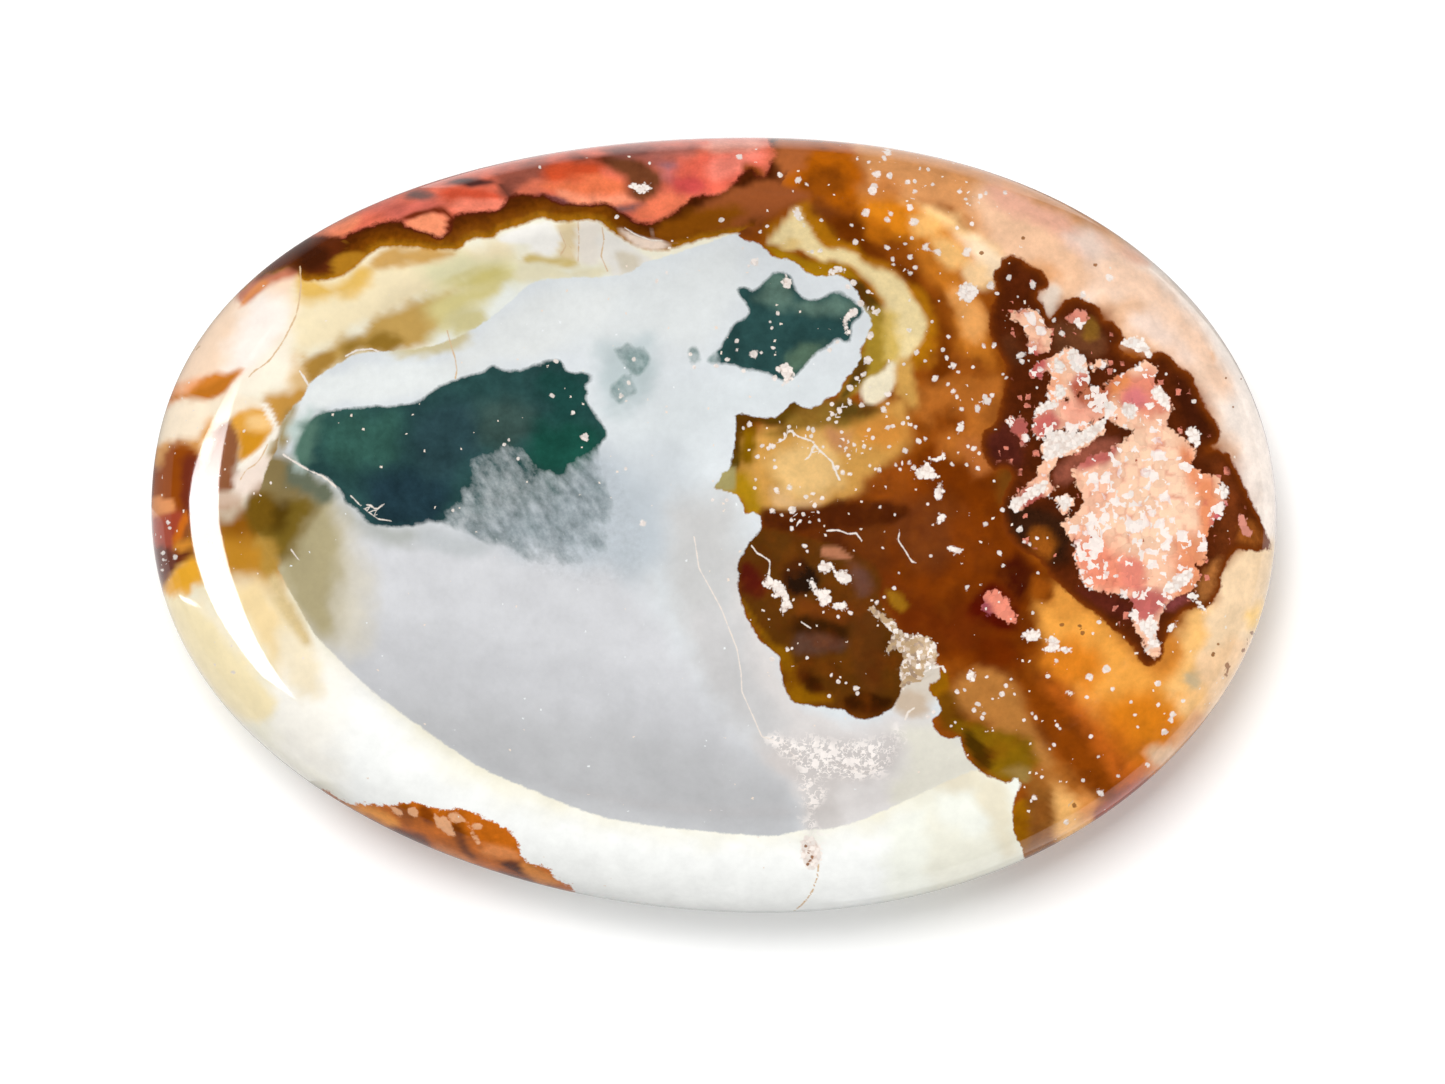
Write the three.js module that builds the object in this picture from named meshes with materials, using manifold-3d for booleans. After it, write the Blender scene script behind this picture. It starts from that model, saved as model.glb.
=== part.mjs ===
// A shallow oval bowl, cut and polished from one piece of polychrome jasper.
// Millimetres, +Z up. The origin is under the bowl's middle, on its foot, and +X is towards the broad end.
import * as THREE from "three";
import { mergeVertices } from "three/addons/utils/BufferGeometryUtils.js";
import Module from "manifold-3d";

// The outline, seen from above
const length = 150;
const width = 103.5;
const squareness = 2.11; // 2 is a true ellipse, and more is fuller between the axes
const broadEnd = 0.0475; // how much the +X end is wider, and the -X end narrower
const bow = 2.1; // how far both ends bend towards +Y
const wobble = { sides: 5, amount: 0.0042, turn: 23 }; // the unevenness of a hand-ground edge

// The section, in the plane of the length. Reaches are measured from the middle.
const halfLength = length / 2;
const footReach = 38; // the flat that the bowl rests on
const widestHeight = 15;
const crestReach = 61.5;
const crestHeight = 26;
const shoulderRun = 2.3; // the crest stays level this far before it turns down
const lipReach = 57; // where the rounded shoulder meets the hollow
const lipHeight = 24.5;
const floorReach = 26; // the hollow is nearly level inside this
const floorHeight = 12;
const undersideBelly = { reach: 58, height: 1.5 };
const undersideFlank = { height: 5 };
const wallSteepness = 5.5; // how long the hollow keeps the slope of its lip

// How finely the surface is faceted
const segmentsRound = 96;
const steps = { underside: 10, rim: 11, shoulder: 4, hollow: 15 };

// Open pits, which crystals line. X and Y are measured from the middle of the outline,
// and turn is that of the pit's long side from +X, in degrees.
const pits = [
  { x: 26.8, y: -17.3, long: 8.0, wide: 5.2, depth: 1.5, turn: -46 },
  { x: 13.9, y: -43.7, long: 5.0, wide: 2.8, depth: 1.2, turn: 84 },
  { x: 11.5, y: -30.1, long: 4.4, wide: 2.0, depth: 0.6, turn: -52 },
  { x: 21.6, y: -31.3, long: 7.4, wide: 4.0, depth: 0.8, turn: 12 },
  { x: -10.2, y: 43.4, long: 3.8, wide: 2.8, depth: 0.9, turn: 24 },
];
const pitLumps = { amount: 0.16, along: 5, across: 4 }; // how uneven a pit's wall is

const wasm = await Module();
wasm.setup();

// The outline's point at an angle from +X, in radians.
function outlinePoint(angle) {
  const c = Math.cos(angle);
  const s = Math.sin(angle);
  const fullness = (Math.abs(c) ** squareness + Math.abs(s) ** squareness) ** (-1 / squareness);
  const hand = 1 + wobble.amount * Math.cos(wobble.sides * angle + THREE.MathUtils.degToRad(wobble.turn));
  return new THREE.Vector2(
    halfLength * fullness * c * hand,
    (width / 2) * fullness * s * (1 + broadEnd * c) * hand + bow * (fullness * c) ** 2,
  );
}

// The section's right half as one path: foot, underside, rounded rim, shoulder and hollow.
function sectionCurves() {
  const point = (reach, height) => new THREE.Vector2(reach, height);
  const foot = point(footReach, 0);
  const widest = point(halfLength, widestHeight);
  const crest = point(crestReach, crestHeight);
  const shoulder = point(crestReach - shoulderRun, crestHeight);
  const lip = point(lipReach, lipHeight);
  const wall = lip.clone().addScaledVector(lip.clone().sub(shoulder), wallSteepness);
  return {
    underside: new THREE.CubicBezierCurve(
      foot,
      point(undersideBelly.reach, undersideBelly.height),
      point(halfLength, undersideFlank.height),
      widest,
    ),
    rim: new THREE.EllipseCurve(
      crestReach,
      widestHeight,
      halfLength - crestReach,
      crestHeight - widestHeight,
      0,
      Math.PI / 2,
    ),
    shoulder: new THREE.QuadraticBezierCurve(crest, shoulder, lip),
    hollow: new THREE.CubicBezierCurve(lip, wall, point(floorReach, floorHeight), point(0, floorHeight)),
  };
}

const section = sectionCurves();

// The section's points from the axis under the foot to the axis over the hollow's floor.
function sectionPoints() {
  const points = [new THREE.Vector2(0, 0)];
  for (const part of ["underside", "rim", "shoulder", "hollow"]) {
    points.push(...section[part].getSpacedPoints(steps[part]).slice(part === "underside" ? 0 : 1));
  }
  points.at(-1).x = 0;
  return points;
}

// The turned section, stretched from a circle to the egg-shaped outline.
function turnedBowl() {
  const lathe = new THREE.LatheGeometry(sectionPoints(), segmentsRound);
  lathe.rotateX(Math.PI / 2);
  const place = lathe.getAttribute("position");
  for (let i = 0; i < place.count; i++) {
    const share = Math.hypot(place.getX(i), place.getY(i)) / halfLength;
    const edge = outlinePoint(Math.atan2(place.getY(i), place.getX(i)));
    place.setXY(i, edge.x * share, edge.y * share);
  }
  return lathe;
}

// A lumpy pebble, sunk to its middle in the surface under its place, is the hollow of one pit.
function pitShape({ x, y, long, wide, depth, turn }, surface) {
  const shape = new THREE.IcosahedronGeometry(1, 2);
  const place = shape.getAttribute("position");
  const corner = new THREE.Vector3();
  for (let i = 0; i < place.count; i++) {
    corner.fromBufferAttribute(place, i);
    const lump = Math.sin(pitLumps.along * corner.x + x) * Math.cos(pitLumps.across * corner.y + y);
    corner.multiplyScalar(1 + pitLumps.amount * lump);
    place.setXYZ(i, corner.x, corner.y, corner.z);
  }
  const up = new THREE.Vector3(0, 0, 1);
  const down = new THREE.Raycaster(new THREE.Vector3(x, y, 2 * crestHeight), up.clone().negate());
  const hit = down.intersectObject(surface)[0];
  shape.scale(long / 2, wide / 2, depth);
  shape.rotateZ(THREE.MathUtils.degToRad(turn));
  shape.applyQuaternion(new THREE.Quaternion().setFromUnitVectors(up, hit.face.normal));
  shape.translate(x, y, hit.point.z);
  return shape;
}

// A closed geometry as a solid.
function solidOf(geometry) {
  geometry.deleteAttribute("normal");
  geometry.deleteAttribute("uv");
  const merged = mergeVertices(geometry, 1e-4);
  const corners = merged.index.array;
  const faces = [];
  for (let i = 0; i < corners.length; i += 3) {
    const face = [corners[i], corners[i + 1], corners[i + 2]];
    if (new Set(face).size === 3) faces.push(...face);
  }
  return new wasm.Manifold(
    new wasm.Mesh({
      numProp: 3,
      vertProperties: new Float32Array(merged.getAttribute("position").array),
      triVerts: new Uint32Array(faces),
    }),
  );
}

// A solid as a geometry.
function geometryOf(solid) {
  const { vertProperties, triVerts } = solid.getMesh();
  const geometry = new THREE.BufferGeometry();
  geometry.setAttribute("position", new THREE.BufferAttribute(new Float32Array(vertProperties), 3));
  geometry.setIndex(new THREE.BufferAttribute(new Uint32Array(triVerts), 1));
  geometry.computeVertexNormals();
  return geometry;
}

const polishedJasper = new THREE.MeshStandardMaterial({
  name: "polished jasper",
  color: 0xd8cfc0,
  roughness: 0.12,
  metalness: 0,
});

function bowl() {
  const turned = turnedBowl();
  const surface = new THREE.Mesh(turned.clone());
  let stone = solidOf(turned);
  for (const pit of pits) stone = stone.subtract(solidOf(pitShape(pit, surface)));
  const geometry = geometryOf(stone);
  geometry.computeBoundingBox();
  const middle = geometry.boundingBox.getCenter(new THREE.Vector3());
  geometry.translate(-middle.x, -middle.y, 0);
  const mesh = new THREE.Mesh(geometry, polishedJasper);
  mesh.name = "bowl";
  return mesh;
}

const jasperBowl = new THREE.Group();
jasperBowl.add(bowl());

export default jasperBowl;
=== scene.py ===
import math

import bpy
import numpy as np
from mathutils import Matrix, Vector


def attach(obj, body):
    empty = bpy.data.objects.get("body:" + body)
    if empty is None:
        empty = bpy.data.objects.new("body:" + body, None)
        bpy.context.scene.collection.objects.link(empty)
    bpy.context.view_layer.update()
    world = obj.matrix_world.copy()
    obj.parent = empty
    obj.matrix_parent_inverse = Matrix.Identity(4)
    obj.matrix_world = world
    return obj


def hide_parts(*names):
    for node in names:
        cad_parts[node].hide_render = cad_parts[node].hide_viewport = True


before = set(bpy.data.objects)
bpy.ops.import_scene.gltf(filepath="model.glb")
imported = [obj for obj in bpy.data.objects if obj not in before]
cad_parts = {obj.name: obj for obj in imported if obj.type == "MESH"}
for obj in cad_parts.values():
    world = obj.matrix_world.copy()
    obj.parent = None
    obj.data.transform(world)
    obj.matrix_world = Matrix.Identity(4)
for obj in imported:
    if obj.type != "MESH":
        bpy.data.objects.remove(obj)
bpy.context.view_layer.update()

mm = 0.001


# The photograph's view: nearly straight down, from far off. Places on the stone are given in its pixels.
view = {
    "picture": (1445, 1084),
    "lens": 120.0,
    "sensor": 36.0,
    "distance": 644.5 * mm,
    "elevation": 84.0,
    "roll": 1.37,
    "target": (1.26 * mm, -2.49 * mm, 13 * mm),
}


def cameraAxes():
    tilt, roll = math.radians(view["elevation"]), math.radians(view["roll"])
    forward = Vector((0, math.cos(tilt), -math.sin(tilt)))
    right = Vector((1, 0, 0))
    up = right.cross(forward)
    turnedRight = right * math.cos(roll) + up * math.sin(roll)
    turnedUp = up * math.cos(roll) - right * math.sin(roll)
    return turnedRight, turnedUp, forward, Vector(view["target"]) - forward * view["distance"]


def toPicture(points):
    right, up, forward, eye = (np.array(v) for v in cameraAxes())
    width, height = view["picture"]
    zoom = view["lens"] / view["sensor"] * width
    away = points - eye
    depth = away @ forward
    return np.stack([width / 2 + zoom * (away @ right) / depth, height / 2 - zoom * (away @ up) / depth], 1)


def makeCamera():
    data = bpy.data.cameras.new("camera")
    data.lens = view["lens"]
    data.sensor_width = view["sensor"]
    data.sensor_fit = "HORIZONTAL"
    data.clip_start = 0.01
    camera = bpy.data.objects.new("camera", data)
    bpy.context.scene.collection.objects.link(camera)
    right, up, forward, eye = cameraAxes()
    camera.matrix_world = Matrix((right, up, -forward)).transposed().to_4x4()
    camera.location = eye
    bpy.context.scene.camera = camera


# The bowl, in millimetres, as its solid is cut, but with pits a little less deep
bowl = {
    "length": 150,
    "width": 103.5,
    "squareness": 2.11,
    "broadEnd": 0.0475,
    "bow": 2.1,
    "wobble": {"sides": 5, "amount": 0.0042, "turn": 23},
    "footReach": 38,
    "widestHeight": 15,
    "crestReach": 61.5,
    "crestHeight": 26,
    "shoulderRun": 2.3,
    "lipReach": 57,
    "lipHeight": 24.5,
    "floorReach": 26,
    "floorHeight": 12,
    "bellyReach": 58,
    "bellyHeight": 1.5,
    "flankHeight": 5,
    "wallSteepness": 5.5,
    "fineness": 7,  # how often the block is divided: 7 gives about 196,600 triangles
    "upperShare": 0.86,  # of the mesh, so that the markings seen from above are the finest
    "pits": [
        {"x": 26.8, "y": -17.3, "long": 8.0, "wide": 5.2, "depth": 1.2, "turn": -46},
        {"x": 13.9, "y": -43.7, "long": 5.0, "wide": 2.8, "depth": 1.0, "turn": 84},
        {"x": 11.5, "y": -30.1, "long": 4.4, "wide": 2.0, "depth": 0.5, "turn": -52},
        {"x": 21.6, "y": -31.3, "long": 7.4, "wide": 4.0, "depth": 0.6, "turn": 12},
        {"x": -10.2, "y": 43.4, "long": 3.8, "wide": 2.8, "depth": 0.8, "turn": 24},
    ],
    # how uneven a pit's edge and its floor are
    "pitLumps": {"amount": 0.12, "along": 5, "across": 4},
    "pitFloor": {"amount": 0.2, "along": 9, "across": 8},
}


def bezier(points, count):
    t = np.linspace(0, 1, count)[:, None]
    points = [np.array(p, float) for p in points]
    while len(points) > 1:
        points = [a * (1 - t) + b * t for a, b in zip(points, points[1:])]
    return points[0]


def sectionHalves():
    b = bowl
    half = b["length"] / 2
    foot, widest = (b["footReach"], 0), (half, b["widestHeight"])
    lip = (b["lipReach"], b["lipHeight"])
    shoulder = (b["crestReach"] - b["shoulderRun"], b["crestHeight"])
    wall = [l + (l - s) * b["wallSteepness"] for l, s in zip(lip, shoulder)]
    turn = np.linspace(0, math.pi / 2, 120)[:, None]
    rim = np.hstack([
        b["crestReach"] + (half - b["crestReach"]) * np.cos(turn),
        b["widestHeight"] + (b["crestHeight"] - b["widestHeight"]) * np.sin(turn),
    ])
    crest = bezier([(b["crestReach"], b["crestHeight"]), shoulder, lip], 60)
    hollow = bezier([lip, wall, (b["floorReach"], b["floorHeight"]), (0, b["floorHeight"])], 400)
    upper = np.vstack([rim, crest[1:], hollow[1:]])[::-1]
    belly = bezier([foot, (b["bellyReach"], b["bellyHeight"]), (half, b["flankHeight"]), widest], 200)
    lower = np.vstack([np.linspace((0, 0), foot, 60), belly[1:]])
    return upper, lower


def outlineAt(angle):
    b = bowl
    c, s = np.cos(angle), np.sin(angle)
    full = (np.abs(c) ** b["squareness"] + np.abs(s) ** b["squareness"]) ** (-1 / b["squareness"])
    hand = 1 + b["wobble"]["amount"] * np.cos(b["wobble"]["sides"] * angle + math.radians(b["wobble"]["turn"]))
    x = b["length"] / 2 * full * c * hand
    y = b["width"] / 2 * full * s * (1 + b["broadEnd"] * c) * hand + b["bow"] * (full * c) ** 2
    return x, y


def spreadEvenly(section, share):
    # reach and height where a share of the turned section's area is passed
    steps = np.hypot(*np.diff(section, axis=0).T)
    area = np.concatenate([[0], np.cumsum(steps * (section[1:, 0] + section[:-1, 0]) / 2)])
    area /= area[-1]
    return np.interp(share, area, section[:, 0]), np.interp(share, area, section[:, 1])


def sinkPits(co, top):
    lump, floor = bowl["pitLumps"], bowl["pitFloor"]
    for pit in bowl["pits"]:
        turn = math.radians(pit["turn"])
        dx, dy = co[:, 0] - pit["x"], co[:, 1] - pit["y"]
        along = (dx * math.cos(turn) + dy * math.sin(turn)) / (pit["long"] / 2)
        across = (dy * math.cos(turn) - dx * math.sin(turn)) / (pit["wide"] / 2)
        lumps = lump["amount"] * np.sin(lump["along"] * along + pit["x"]) * np.cos(lump["across"] * across + pit["y"])
        away = np.hypot(along, across) * (1 + lumps)
        dents = floor["amount"] * np.sin(floor["along"] * along) * np.sin(floor["across"] * across)
        sunk = np.sqrt(np.clip(1 - away ** 2, 0, 1)) * (1 - floor["amount"] + dents)
        co[:, 2] -= np.where(top, pit["depth"] * sunk, 0)


def vertexValues(mesh, key):
    values = np.empty(len(mesh.vertices) * 3)
    mesh.vertices.foreach_get(key, values)
    return values.reshape(-1, 3)


def makeBowl():
    # a block divided until it is round gives an even mesh with no pole, which is then laid on the section
    bpy.ops.object.select_all(action="DESELECT")
    bpy.ops.mesh.primitive_cube_add(size=bowl["width"] * mm)
    piece = bpy.context.object
    piece.name = "jasperBowl"
    divide = piece.modifiers.new("divide", "SUBSURF")
    divide.levels = divide.render_levels = bowl["fineness"]
    bpy.ops.object.modifier_apply(modifier=divide.name)
    mesh = piece.data
    co = vertexValues(mesh, "co")
    co /= np.linalg.norm(co, axis=1)[:, None]
    share = (1 - co[:, 2]) / 2
    angle = np.arctan2(co[:, 1], co[:, 0])
    top = share <= bowl["upperShare"]
    upper, lower = sectionHalves()
    reach, height = spreadEvenly(upper, share / bowl["upperShare"])
    under = spreadEvenly(lower, (1 - share) / (1 - bowl["upperShare"]))
    reach, height = np.where(top, reach, under[0]), np.where(top, height, under[1])
    edgeX, edgeY = outlineAt(angle)
    out = reach / (bowl["length"] / 2)
    co = np.stack([edgeX * out, edgeY * out, height], 1)
    sinkPits(co, top)
    around = outlineAt(np.linspace(0, 2 * math.pi, 1441))
    co[:, 0] -= (around[0].max() + around[0].min()) / 2
    co[:, 1] -= (around[1].max() + around[1].min()) / 2
    mesh.vertices.foreach_set("co", (co * mm).ravel())
    mesh.update()
    bpy.ops.object.mode_set(mode="EDIT")
    bpy.ops.mesh.select_all(action="SELECT")
    bpy.ops.mesh.normals_make_consistent(inside=False)
    bpy.ops.object.mode_set(mode="OBJECT")
    bpy.ops.object.shade_smooth()
    return piece


# Where each mineral shows, as outlines in the photograph's pixels. Those that meet the bowl's edge run on
# past it.
places = {}

# the pale, clear chalcedony of the hollow
places["hollow"] = [
    [(278, 446), (280, 428), (293, 406), (303, 398), (312, 381), (345, 360), (362, 353), (408, 350), (445, 342),
     (480, 325), (510, 302), (530, 284), (560, 278), (600, 277), (628, 273), (645, 262), (668, 256), (741, 230),
     (790, 200), (860, 260), (960, 400), (900, 560), (960, 700), (985, 768), (970, 771), (881, 812), (855, 822),
     (828, 829), (801, 830), (761, 836), (640, 824), (600, 816), (560, 802), (520, 785), (475, 764), (400, 712),
     (360, 680), (320, 640), (312, 630), (262, 540), (255, 515), (266, 470)],
]
# moss green chalcedony
places["green"] = [
    [(300, 442), (312, 420), (320, 414), (332, 410), (400, 405), (420, 400), (448, 382), (480, 373), (488, 370),
     (493, 366), (499, 369), (512, 370), (535, 366), (550, 361), (561, 362), (565, 369), (572, 373), (590, 374),
     (592, 381), (585, 386), (588, 393), (586, 400), (606, 430), (604, 442), (600, 452), (616, 470), (644, 535),
     (640, 570), (600, 586), (540, 574), (470, 534), (446, 526), (430, 524), (415, 526), (385, 526), (370, 524),
     (358, 511), (346, 502), (340, 490), (325, 478), (302, 464), (298, 452)],
    [(738, 290), (745, 287), (753, 292), (771, 276), (778, 272), (786, 273), (793, 281), (797, 291), (805, 298),
     (815, 300), (824, 298), (829, 293), (840, 292), (850, 297), (858, 305), (862, 314), (852, 324), (851, 336),
     (845, 341), (838, 338), (818, 352), (790, 379), (776, 378), (760, 371), (745, 370), (735, 366), (714, 363),
     (709, 359), (724, 342), (735, 322), (744, 318), (748, 309)],
    [(614, 350), (622, 348), (628, 343), (635, 350), (643, 349), (650, 358), (645, 369), (637, 376), (629, 370)],
    [(611, 388), (619, 380), (627, 375), (633, 384), (636, 393), (627, 397), (620, 404), (613, 398)],
    [(688, 350), (695, 346), (700, 358), (692, 364)],
]
# the olive brown seam below the red
places["seam"] = [
    [(240, 290), (255, 276), (275, 273), (290, 266), (298, 269), (301, 280), (315, 281), (333, 279), (345, 274),
     (357, 266), (374, 251), (387, 247), (420, 248), (433, 251), (445, 249), (453, 251), (460, 249), (467, 242),
     (476, 238), (486, 239), (495, 237), (501, 231), (525, 224), (535, 219), (545, 218), (552, 221), (562, 222),
     (585, 220), (600, 222), (608, 229), (632, 244), (650, 250), (668, 250), (700, 240), (741, 233), (765, 240),
     (790, 215), (830, 190), (840, 150), (840, 90), (300, 90), (230, 250)],
]
places["red"] = [
    [(290, 246), (305, 241), (343, 240), (352, 235), (390, 223), (402, 225), (405, 229), (430, 236), (437, 240),
     (447, 237), (452, 228), (453, 222), (460, 216), (497, 213), (505, 207), (510, 200), (515, 197), (525, 196),
     (535, 198), (545, 197), (560, 205), (590, 207), (600, 205), (610, 207), (630, 221), (645, 226), (660, 223),
     (682, 210), (690, 202), (700, 198), (715, 197), (728, 193), (750, 170), (757, 180), (768, 177), (772, 165),
     (780, 158), (778, 148), (772, 140), (770, 90), (500, 90), (300, 170), (250, 230)],
    [(628, 184), (634, 181), (643, 180), (648, 177), (657, 182), (646, 196), (639, 196)],
]
# all the amber, brown and honey jasper of the east side
places["warm"] = [
    [(740, 232), (745, 240), (760, 244), (773, 257), (794, 261), (801, 268), (809, 273), (820, 276), (833, 275),
     (845, 277), (858, 293), (861, 302), (870, 318), (871, 327), (861, 350), (860, 358), (856, 368), (844, 381),
     (841, 389), (835, 396), (827, 398), (820, 405), (812, 408), (800, 407), (794, 401), (780, 415), (768, 418),
     (755, 418), (736, 414), (736, 432), (730, 468), (722, 473), (719, 481), (714, 487), (735, 494), (742, 501),
     (746, 513), (757, 512), (762, 524), (757, 536), (750, 541), (739, 563), (738, 575), (741, 603), (753, 629),
     (762, 642), (779, 657), (780, 668), (790, 698), (813, 706), (826, 706), (832, 709), (843, 709), (850, 715),
     (858, 718), (872, 718), (892, 708), (902, 688), (900, 672), (906, 660), (938, 665), (938, 680), (930, 684),
     (931, 693), (938, 700), (941, 712), (932, 722), (940, 734), (949, 739), (960, 737), (963, 748), (969, 760),
     (980, 771), (996, 779), (1008, 783), (1016, 778), (1021, 784), (1014, 800), (1013, 815), (1014, 831), (1022, 848),
     (1026, 866), (1030, 900), (1200, 960), (1400, 700), (1400, 300), (1200, 80), (845, 80), (800, 150), (765, 215)],
]
places["maroon"] = [
    [(993, 275), (1000, 266), (1003, 258), (1012, 256), (1020, 257), (1028, 264), (1036, 267), (1043, 272),
     (1048, 280), (1048, 288), (1040, 290), (1037, 297), (1042, 303), (1045, 312), (1051, 318), (1063, 302),
     (1070, 298), (1080, 298), (1088, 301), (1096, 305), (1101, 312), (1104, 320), (1113, 322), (1120, 330),
     (1125, 338), (1118, 346), (1123, 353), (1132, 357), (1142, 358), (1155, 353), (1163, 353), (1172, 358),
     (1178, 367), (1188, 372), (1195, 382), (1203, 403), (1218, 425), (1221, 435), (1217, 443), (1206, 450),
     (1216, 450), (1226, 453), (1233, 463), (1270, 541), (1266, 549), (1255, 551), (1240, 549), (1234, 552),
     (1222, 573), (1221, 586), (1215, 598), (1208, 608), (1195, 608), (1185, 610), (1177, 618), (1170, 628),
     (1165, 642), (1163, 656), (1156, 664), (1147, 666), (1138, 659), (1135, 650), (1127, 641), (1092, 611),
     (1078, 602), (1048, 574), (1040, 560), (1020, 550), (1006, 532), (1000, 512), (1004, 495), (1012, 478),
     (1006, 468), (994, 470), (986, 460), (981, 446), (985, 431), (997, 420), (1006, 372), (1001, 356), (993, 341),
     (989, 322), (992, 305), (997, 290)],
]
places["pink"] = [
    [(1008, 318), (1020, 308), (1037, 310), (1041, 316), (1043, 323), (1049, 329), (1051, 347), (1046, 354),
     (1029, 350), (1025, 331), (1018, 323)],
    [(1050, 357), (1070, 346), (1078, 350), (1084, 358), (1088, 370), (1090, 382), (1086, 390), (1068, 398),
     (1064, 404), (1052, 403), (1045, 396), (1050, 376), (1044, 373), (1040, 379), (1032, 374), (1030, 367),
     (1038, 361)],
    [(1104, 388), (1110, 380), (1118, 373), (1136, 367), (1141, 362), (1150, 362), (1158, 369), (1152, 382),
     (1160, 387), (1168, 395), (1173, 406), (1168, 424), (1172, 432), (1150, 434), (1130, 430), (1112, 424),
     (1100, 418), (1086, 428), (1070, 432), (1056, 430), (1045, 438), (1036, 440), (1032, 431), (1036, 408),
     (1044, 402), (1064, 400), (1078, 396), (1086, 388), (1098, 386)],
    [(1128, 434), (1150, 426), (1168, 428), (1194, 448), (1192, 462), (1202, 472), (1212, 474), (1220, 482),
     (1225, 496), (1226, 510), (1210, 530), (1206, 558), (1196, 566), (1200, 576), (1194, 590), (1178, 596),
     (1165, 608), (1158, 622), (1158, 640), (1163, 650), (1150, 656), (1131, 622), (1133, 606), (1122, 596),
     (1102, 593), (1088, 588), (1078, 575), (1074, 557), (1074, 545), (1064, 532), (1063, 522), (1074, 514),
     (1084, 500), (1072, 478), (1078, 464), (1092, 456), (1120, 444)],
    [(1046, 434), (1060, 430), (1078, 432), (1105, 418), (1106, 431), (1096, 440), (1070, 455), (1060, 458),
     (1053, 467), (1050, 478), (1056, 488), (1048, 497), (1032, 502), (1022, 510), (1009, 509), (1012, 497),
     (1022, 490), (1042, 464), (1041, 450)],
    [(1056, 500), (1064, 494), (1073, 499), (1072, 508), (1062, 513)],
    [(1007, 420), (1016, 418), (1026, 420), (1029, 438), (1023, 447), (1018, 441)],
    [(1065, 318), (1070, 312), (1078, 309), (1087, 313), (1089, 321), (1082, 326), (1074, 325)],
    [(1090, 368), (1098, 361), (1107, 359), (1106, 366), (1097, 371)],
    [(1238, 514), (1245, 519), (1252, 533), (1245, 536), (1239, 526)],
    [(983, 603), (984, 596), (991, 589), (999, 590), (1013, 608), (1016, 617), (1011, 624), (996, 616), (985, 614)],
]
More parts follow.
